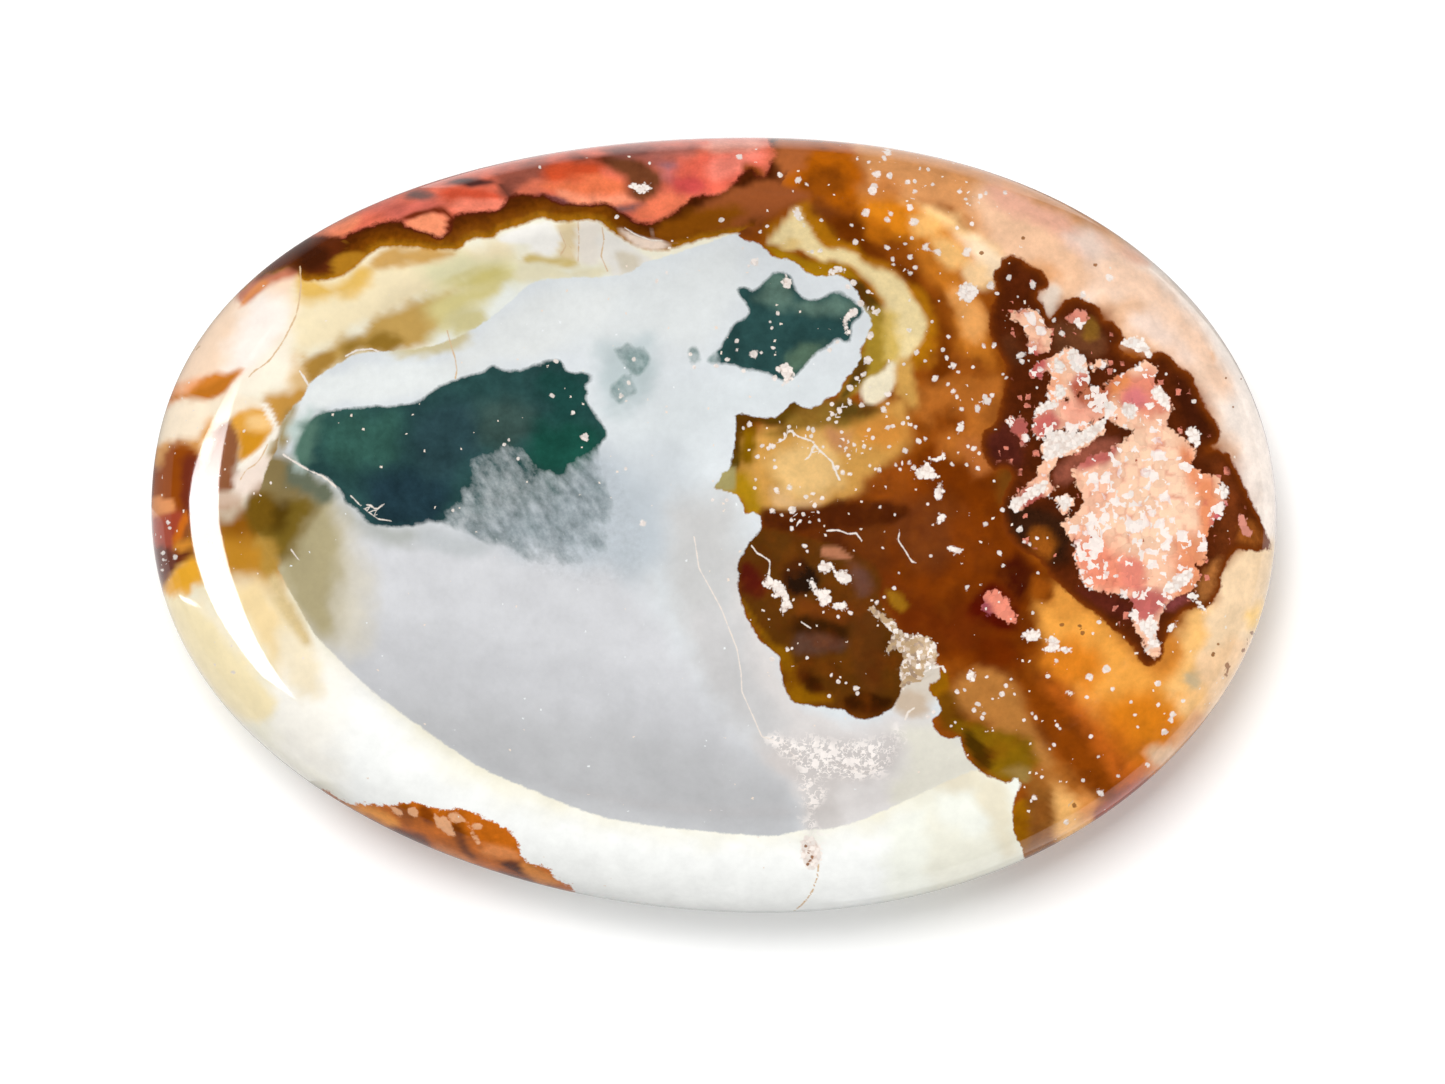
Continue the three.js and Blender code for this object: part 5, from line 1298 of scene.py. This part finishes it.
def makeStone():
    material = bpy.data.materials.new("polished polychrome jasper")
    material.use_nodes = True
    tree = material.node_tree
    tree.nodes.clear()
    place = add(tree, "ShaderNodeTexCoord").outputs["Object"]
    edges, speckles, dots, strokes = raggedEdgeGroup(), speckleGroup(), fleckGroup(), lineGroup()
    colours = {name: rgba(tone) for name, tone in stone["colours"].items()}
    source = {}

    def attribute(name, output="Color"):
        return add(tree, "ShaderNodeAttribute", {"attribute_name": name}).outputs[output]

    def noise(size, detail, roughness=0.5, vector=None):
        return add(tree, "ShaderNodeTexNoise", Vector=vector or place, Scale=1 / (size * mm), Detail=detail,
                   Roughness=roughness)

    def use(group, **inputs):
        return add(tree, "ShaderNodeGroup", {"node_tree": group}, **inputs).outputs

    def border(name):
        wobble, amount, softness = stone["borders"][name]
        return use(edges, Distance=attribute(name, "Fac"), Wobble=source[wobble], Amount=amount, Softness=softness)

    def speckle(name, *amount):
        size, radius, density = *stone["speckles"][name], *amount
        return use(speckles, Vector=warped, Scale=1 / (size * mm), Density=density, Size=radius)["Mask"]

    def ramp(factor, stops):
        node = add(tree, "ShaderNodeValToRGB", Fac=factor)
        node.color_ramp.elements.remove(node.color_ramp.elements[1])
        node.color_ramp.elements[0].position = stops[0][0]
        node.color_ramp.elements[0].color = rgba(stops[0][1])
        for position, colour in stops[1:]:
            node.color_ramp.elements.new(position).color = rgba(colour)
        return node.outputs["Color"]

    def scaled(value, low, high, toLow=0.0, toHigh=1.0):
        return add(tree, "ShaderNodeMapRange", Value=value, From_Min=low, From_Max=high, To_Min=toLow,
                   To_Max=toHigh).outputs["Result"]

    def shaded(colour, name):
        # the colour made darker and paler by its noises
        low, high = 0.32, 0.68
        for noiseName, darkest, palest in stone["shades"][name]:
            greys = {f"i{i}": scaled(source[noiseName], low, high, darkest, palest) for i in range(3)}
            grey = add(tree, "ShaderNodeCombineColor", **greys).outputs[0]
            colour = mixed(tree, 1.0, colour, grey, "MULTIPLY")
        return colour

    textures = {name: noise(*numbers) for name, numbers in stone["noises"].items()}
    warped = add(tree, "ShaderNodeVectorMath", {"operation": "MULTIPLY_ADD"}, i0=textures["grain"].outputs["Color"],
                 i1=(stone["warp"] * mm,) * 3, i2=place).outputs[0]
    for name in ("crumb", "grit"):
        textures[name] = add(tree, "ShaderNodeTexVoronoi", {"distance": "CHEBYCHEV"}, Vector=warped,
                             Scale=1 / (stone[name] * mm))
    for name, node in textures.items():
        for i, channel in enumerate(parts(tree, node.outputs["Color"])[:3]):
            source[f"{name}{i}"] = channel
    crumbGap = source["crumbGap"] = textures["crumb"].outputs["Distance"]
    gritGap = textures["grit"].outputs["Distance"]
    source["lumpy"] = calc(tree, "ADD", gritGap, 0.15)
    for name, (first, share, second, otherShare) in stone["mixtures"].items():
        rest = calc(tree, "MULTIPLY", source[second], otherShare)
        source[name] = calc(tree, "MULTIPLY_ADD", source[first], share, rest)
    frostAmount, specks, chalk = parts(tree, attribute("amounts"))[:3]
    chalky = shaded(colours["chalk"], "chalk")
    # painted shade: the chalky white darkens towards the edges of its grains
    chalky = mixed(tree, scaled(gritGap, 0.35, 0.65, 0, 0.6), chalky, colours["chalkGrainShade"])

    # the pale ground: cream outside, clear chalcedony in the hollow
    outer = shaded(attribute("outerTint"), "outer")
    hollow = shaded(attribute("hollowTint"), "hollow")
    hollow = mixed(tree, speckle("hollow"), hollow, colours["hollowSpeck"])
    colour = mixed(tree, border("hollow")["Mask"], outer, hollow)

    # the green chalcedony, and the frost over its foot
    green = shaded(attribute("greenTint"), "green")
    feather = stone["frost"]
    slanted = add(tree, "ShaderNodeMapping", {"vector_type": "TEXTURE"}, Vector=place,
                  Rotation=(0, 0, feather["slant"]), Scale=(1, feather["length"], 1)).outputs[0]
    plume = parts(tree, noise(*feather["noise"], vector=slanted).outputs["Color"])[0]
    feathers = calc(tree, "MULTIPLY_ADD", plume, feather["plume"],
                    calc(tree, "MULTIPLY", source["rough1"], feather["grain"]))
    frost = calc(tree, "MULTIPLY_ADD", calc(tree, "SUBTRACT", frostAmount, feather["half"]), feather["amount"],
                 calc(tree, "SUBTRACT", feathers, feather["middle"]))
    frost = clamped(tree, calc(tree, "MULTIPLY_ADD", frost, feather["contrast"], 0.5))
    green = mixed(tree, frost, green, shaded(hollow, "frost"))
    colour = mixed(tree, border("green")["Mask"], colour, green)

    # the olive seam and the red jasper over it
    edge = border("seam")
    seam = shaded(ramp(scaled(edge["Depth"], -2, 36), stone["seamDepths"]), "seam")
    colour = mixed(tree, edge["Mask"], colour, seam)
    edge = border("red")
    red = mixed(tree, scaled(edge["Depth"], 1, 5), colours["redRim"], shaded(attribute("redTint"), "red"))
    colour = mixed(tree, edge["Mask"], colour, red)

    # the warm jasper, with blots where it is dark
    warmTint = attribute("warmTint")
    dark = scaled(parts(tree, warmTint)[1], 0.1, 0.24, 1, 0)
    warm = shaded(warmTint, "warm")
    for name, (noiseName, start, full, most) in stone["blots"].items():
        blot = calc(tree, "MULTIPLY", dark, scaled(source[noiseName], start, full, 0, most))
        warm = mixed(tree, blot, warm, colours[name])
    colour = mixed(tree, border("warm")["Mask"], colour, shaded(warm, "warmGrain"))

    # the maroon, with loose crumbs in it and a brown rim
    edge = border("maroon")
    maroon = shaded(attribute("maroonTint"), "maroon")
    loose = calc(tree, "MULTIPLY", speckle("loose", calc(tree, "MULTIPLY", chalk, 2.6)), scaled(edge["Depth"], 6, 11))
    maroon = mixed(tree, loose, maroon, shaded(colours["looseCrumb"], "looseCrumb"))
    rim = ramp(scaled(edge["Depth"], -1, 6), stone["maroonDepths"])
    maroon = mixed(tree, scaled(edge["Depth"], 2, 10), rim, maroon)
    colour = mixed(tree, edge["Mask"], colour, maroon)

    # the pink, crumb by crumb, some of them chalky, with painted shade between the crumbs
    pink = shaded(attribute("pinkTint"), "pink")
    chalkCrumb = calc(tree, "LESS_THAN", source["crumb1"], chalk)
    chalkGrit = calc(tree, "LESS_THAN", source["grit1"], calc(tree, "MULTIPLY", chalk, 0.45))
    pink = mixed(tree, calc(tree, "MAXIMUM", chalkCrumb, chalkGrit), pink, shaded(colours["pinkChalk"], "pinkChalk"))
    # painted shade: the pink darkens towards the borders between its crumbs
    between = calc(tree, "MULTIPLY", scaled(crumbGap, 0.4, 0.75), scaled(source["wave0"], 0.4, 0.6))
    pink = mixed(tree, calc(tree, "MULTIPLY", between, 0.7), pink, colours["pinkCrumbShade"])
    pink = mixed(tree, speckle("pink"), pink, colours["pinkSpeck"])
    colour = mixed(tree, border("pink")["Mask"], colour, pink)

    # the rust patch on the south rim, and its flakes
    colour = mixed(tree, border("rust")["Mask"], colour, shaded(attribute("rustTint"), "rust"))
    colour = mixed(tree, border("rustFlake")["Mask"], colour, shaded(colours["rustFlake"], "rustFlake"))

    # single-coloured patches
    colour = mixed(tree, attribute("patchTint", "Alpha"), colour, shaded(attribute("patchTint"), "patch"))

    # the web of crystals, and what is chalky white
    threads = scaled(calc(tree, "ABSOLUTE", calc(tree, "SUBTRACT", source["grain0"], 0.5)), 0.012, 0.03, 1, 0)
    crystals = calc(tree, "LESS_THAN", source["grit2"], scaled(source["wave0"], 0.4, 0.6, 0.05, 0.6))
    lace = calc(tree, "MULTIPLY", border("web")["Mask"], calc(tree, "MAXIMUM", threads, crystals))
    colour = mixed(tree, lace, colour, shaded(colours["web"], "web"))
    colour = mixed(tree, border("white")["Mask"], colour, chalky)

    # lines, specks and flecks
    for name in ("brownLine", "paleLine"):
        line = use(strokes, Beside=attribute(name, "Vector"), Wobble=source["rough0"])["Mask"]
        colour = mixed(tree, line, colour, colours[name])
    colour = mixed(tree, speckle("all", specks), colour, colours["speck"])
    for name in ("brownFleck", *(f"fleck{i}" for i in range(marking["fleckLayers"]))):
        fleck = use(dots, Away=attribute(name, "Vector"), Wobble=source["jagged"])["Mask"]
        tone = shaded(colours.get(name, colours["fleck"]), "fleck")
        colour = mixed(tree, calc(tree, "MULTIPLY", fleck, 0.9), colour, tone)

    # the crystals in the pits
    crust = border("crust")["Mask"]
    pit = mixed(tree, scaled(source["grit2"], 0.15, 0.6), chalky, colours["pitShade"])
    pit = mixed(tree, calc(tree, "LESS_THAN", source["grit1"], 0.14), pit, colours["pitSpeck"])
    colour = mixed(tree, crust, colour, pit)

    shine = scaled(crust, 0, 1, stone["roughness"], stone["pitRoughness"])
    knobs = calc(tree, "MULTIPLY", crust, calc(tree, "SUBTRACT", 1, crumbGap))
    relief = calc(tree, "MULTIPLY_ADD", textures["cloud"].outputs[0], stone["bump"]["cloud"], knobs)
    bump = add(tree, "ShaderNodeBump", Strength=stone["bump"]["strength"],
               Distance=stone["bump"]["millimetres"] * mm, Height=relief)
    shader = add(tree, "ShaderNodeBsdfPrincipled", Base_Color=colour, Roughness=shine, IOR=stone["ior"],
                 Normal=bump.outputs[0])
    add(tree, "ShaderNodeOutputMaterial", Surface=shader.outputs[0])
    return material


# The light: an even room, white paper that glows a little, a soft key nearly overhead and a weak fill low on the
# right. Only the gloss sees the cards. Their middles and outlines are in millimetres, the outlines on their own faces.
onPaper = {"middle": (0, 0, -2.5), "across": (1, 0, 0), "down": (0, -1, 0)}
studio = {
    "room": 0.36,
    "paper": {"size": 3.0, "colour": (0.9, 0.9, 0.895), "glow": 0.14, "roughness": 0.9},
    "lamps": {
        "key": {"at": (-0.13, 0.165, 0.9), "size": 0.36, "watts": 6.6},
        "fill": {"at": (0.56, -0.36, 0.08), "size": 0.2, "watts": 1.2},
    },
    "faded": 0.05,  # the share of a card's glow that is left beyond its fade, which runs northwards
    "cards": {
        "windowCard": {
            "middle": (-115.3, -9.5, 80.4), "across": (-0.032, 0.999, 0.035), "down": (-0.732, 0, -0.681),
            "glow": 22, "fade": (12, 44),
            "outline": [(50, -15), (64, -17), (77, -19), (78, -12), (64, -6), (51, -1), (37, 15), (24, 28), (17, 32),
                        (0, 29), (-20, 20), (-37, 8), (-48, 0), (-48, -20), (-25, -22), (-9, -24), (2, -21), (12, -16),
                        (22, -15.6), (35, -17)],
        },
        "sideCard": {
            "middle": (-126.5, -29.2, 21.8), "across": (-0.263, 0.965, 0), "down": (0, 0, -1), "glow": 14,
            "outline": [(4.6, 18), (2.9, 6), (1.1, -6), (-1.7, -20), (-0.8, -6), (1, 6)],
        },
        # the paper as the gloss sees it, dull at large and bright along parts of the rim
        "paperShine": {
            **onPaper, "middle": (0, 0, -3), "glow": 0.32, "fade": (60, 110),
            "outline": [(-900, -900), (76, -900), (76, 900), (-900, 900)],
        },
        "northShine": {
            **onPaper, "glow": 0.95, "fade": (85, 125),
            "outline": [(-45, -56), (60, -56), (60, -126), (-62, -126)],
        },
        "eastShine": {
            **onPaper, "glow": 0.85,
            "outline": [(79, -66), (140, -66), (150, 40), (100, 120), (20, 140), (20, 72), (50, 60), (72, 34), (79, 0)],
        },
        "westShine": {
            **onPaper, "glow": 0.9,
            "outline": [(-79, -2), (-76, 12), (-68, 28), (-57, 39), (-98, 106), (-150, 60), (-140, 0)],
        },
    },
}


def makeCard(name, spec):
    bpy.ops.object.select_all(action="DESELECT")
    bpy.ops.mesh.primitive_circle_add(vertices=len(spec["outline"]), fill_type="NGON")
    card = bpy.context.object
    card.name = name
    middle, across, down = (Vector(spec[key]) for key in ("middle", "across", "down"))
    for corner, (u, v) in zip(card.data.vertices, spec["outline"]):
        corner.co = (middle + across * u + down * v) * mm
    light = bpy.data.materials.new(name + "Light")
    light.use_nodes = True
    tree = light.node_tree
    tree.nodes.clear()
    glow = spec["glow"]
    if "fade" in spec:
        start, end = (y * mm for y in spec["fade"])
        spot = add(tree, "ShaderNodeTexCoord").outputs["Object"]
        north = add(tree, "ShaderNodeSeparateXYZ", Vector=spot).outputs["Y"]
        glow = add(tree, "ShaderNodeMapRange", Value=north, From_Min=start, From_Max=end, To_Min=glow,
                   To_Max=glow * studio["faded"]).outputs["Result"]
    shine = add(tree, "ShaderNodeEmission", Strength=glow)
    add(tree, "ShaderNodeOutputMaterial", Surface=shine.outputs[0])
    card.data.materials.append(light)
    card.visible_camera = card.visible_diffuse = card.visible_shadow = False


def makeLamp(name, spec):
    data = bpy.data.lights.new(name, "AREA")
    data.energy, data.size = spec["watts"], spec["size"]
    lamp = bpy.data.objects.new(name, data)
    bpy.context.scene.collection.objects.link(lamp)
    lamp.location = spec["at"]
    lamp.rotation_euler = (-lamp.location).to_track_quat("-Z", "Y").to_euler()
    lamp.visible_glossy = lamp.visible_camera = False


def makePaper(spec):
    bpy.ops.object.select_all(action="DESELECT")
    bpy.ops.mesh.primitive_plane_add(size=spec["size"])
    floor = bpy.context.object
    floor.name = "floor"
    paper = bpy.data.materials.new("white paper")
    paper.use_nodes = True
    inputs = paper.node_tree.nodes["Principled BSDF"].inputs
    inputs["Base Color"].default_value = (*spec["colour"], 1)
    inputs["Emission Color"].default_value = (1, 1, 1, 1)
    inputs["Emission Strength"].default_value = spec["glow"]
    inputs["Roughness"].default_value = spec["roughness"]
    inputs["Specular IOR Level"].default_value = 0
    floor.data.materials.append(paper)
    floor.visible_glossy = False


def makeStudio():
    scene = bpy.context.scene
    world = scene.world = bpy.data.worlds.new("room")
    world.use_nodes = True
    room = world.node_tree.nodes["Background"].inputs
    room["Color"].default_value = (1, 1, 1, 1)
    room["Strength"].default_value = studio["room"]
    world.cycles_visibility.glossy = False
    for name, spec in studio["lamps"].items():
        makeLamp(name, spec)
    for name, spec in studio["cards"].items():
        makeCard(name, spec)
    makePaper(studio["paper"])
    scene.view_settings.view_transform = "Standard"


makeCamera()
print("camera set")
makeStudio()
print("studio lit")
jasperBowl = makeBowl()
print("bowl cut:", len(jasperBowl.data.polygons), "faces")
markStone(jasperBowl)
print("stone marked")
jasperBowl.data.materials.append(makeStone())
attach(jasperBowl, "root")
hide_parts("bowl")
print("stone polished")
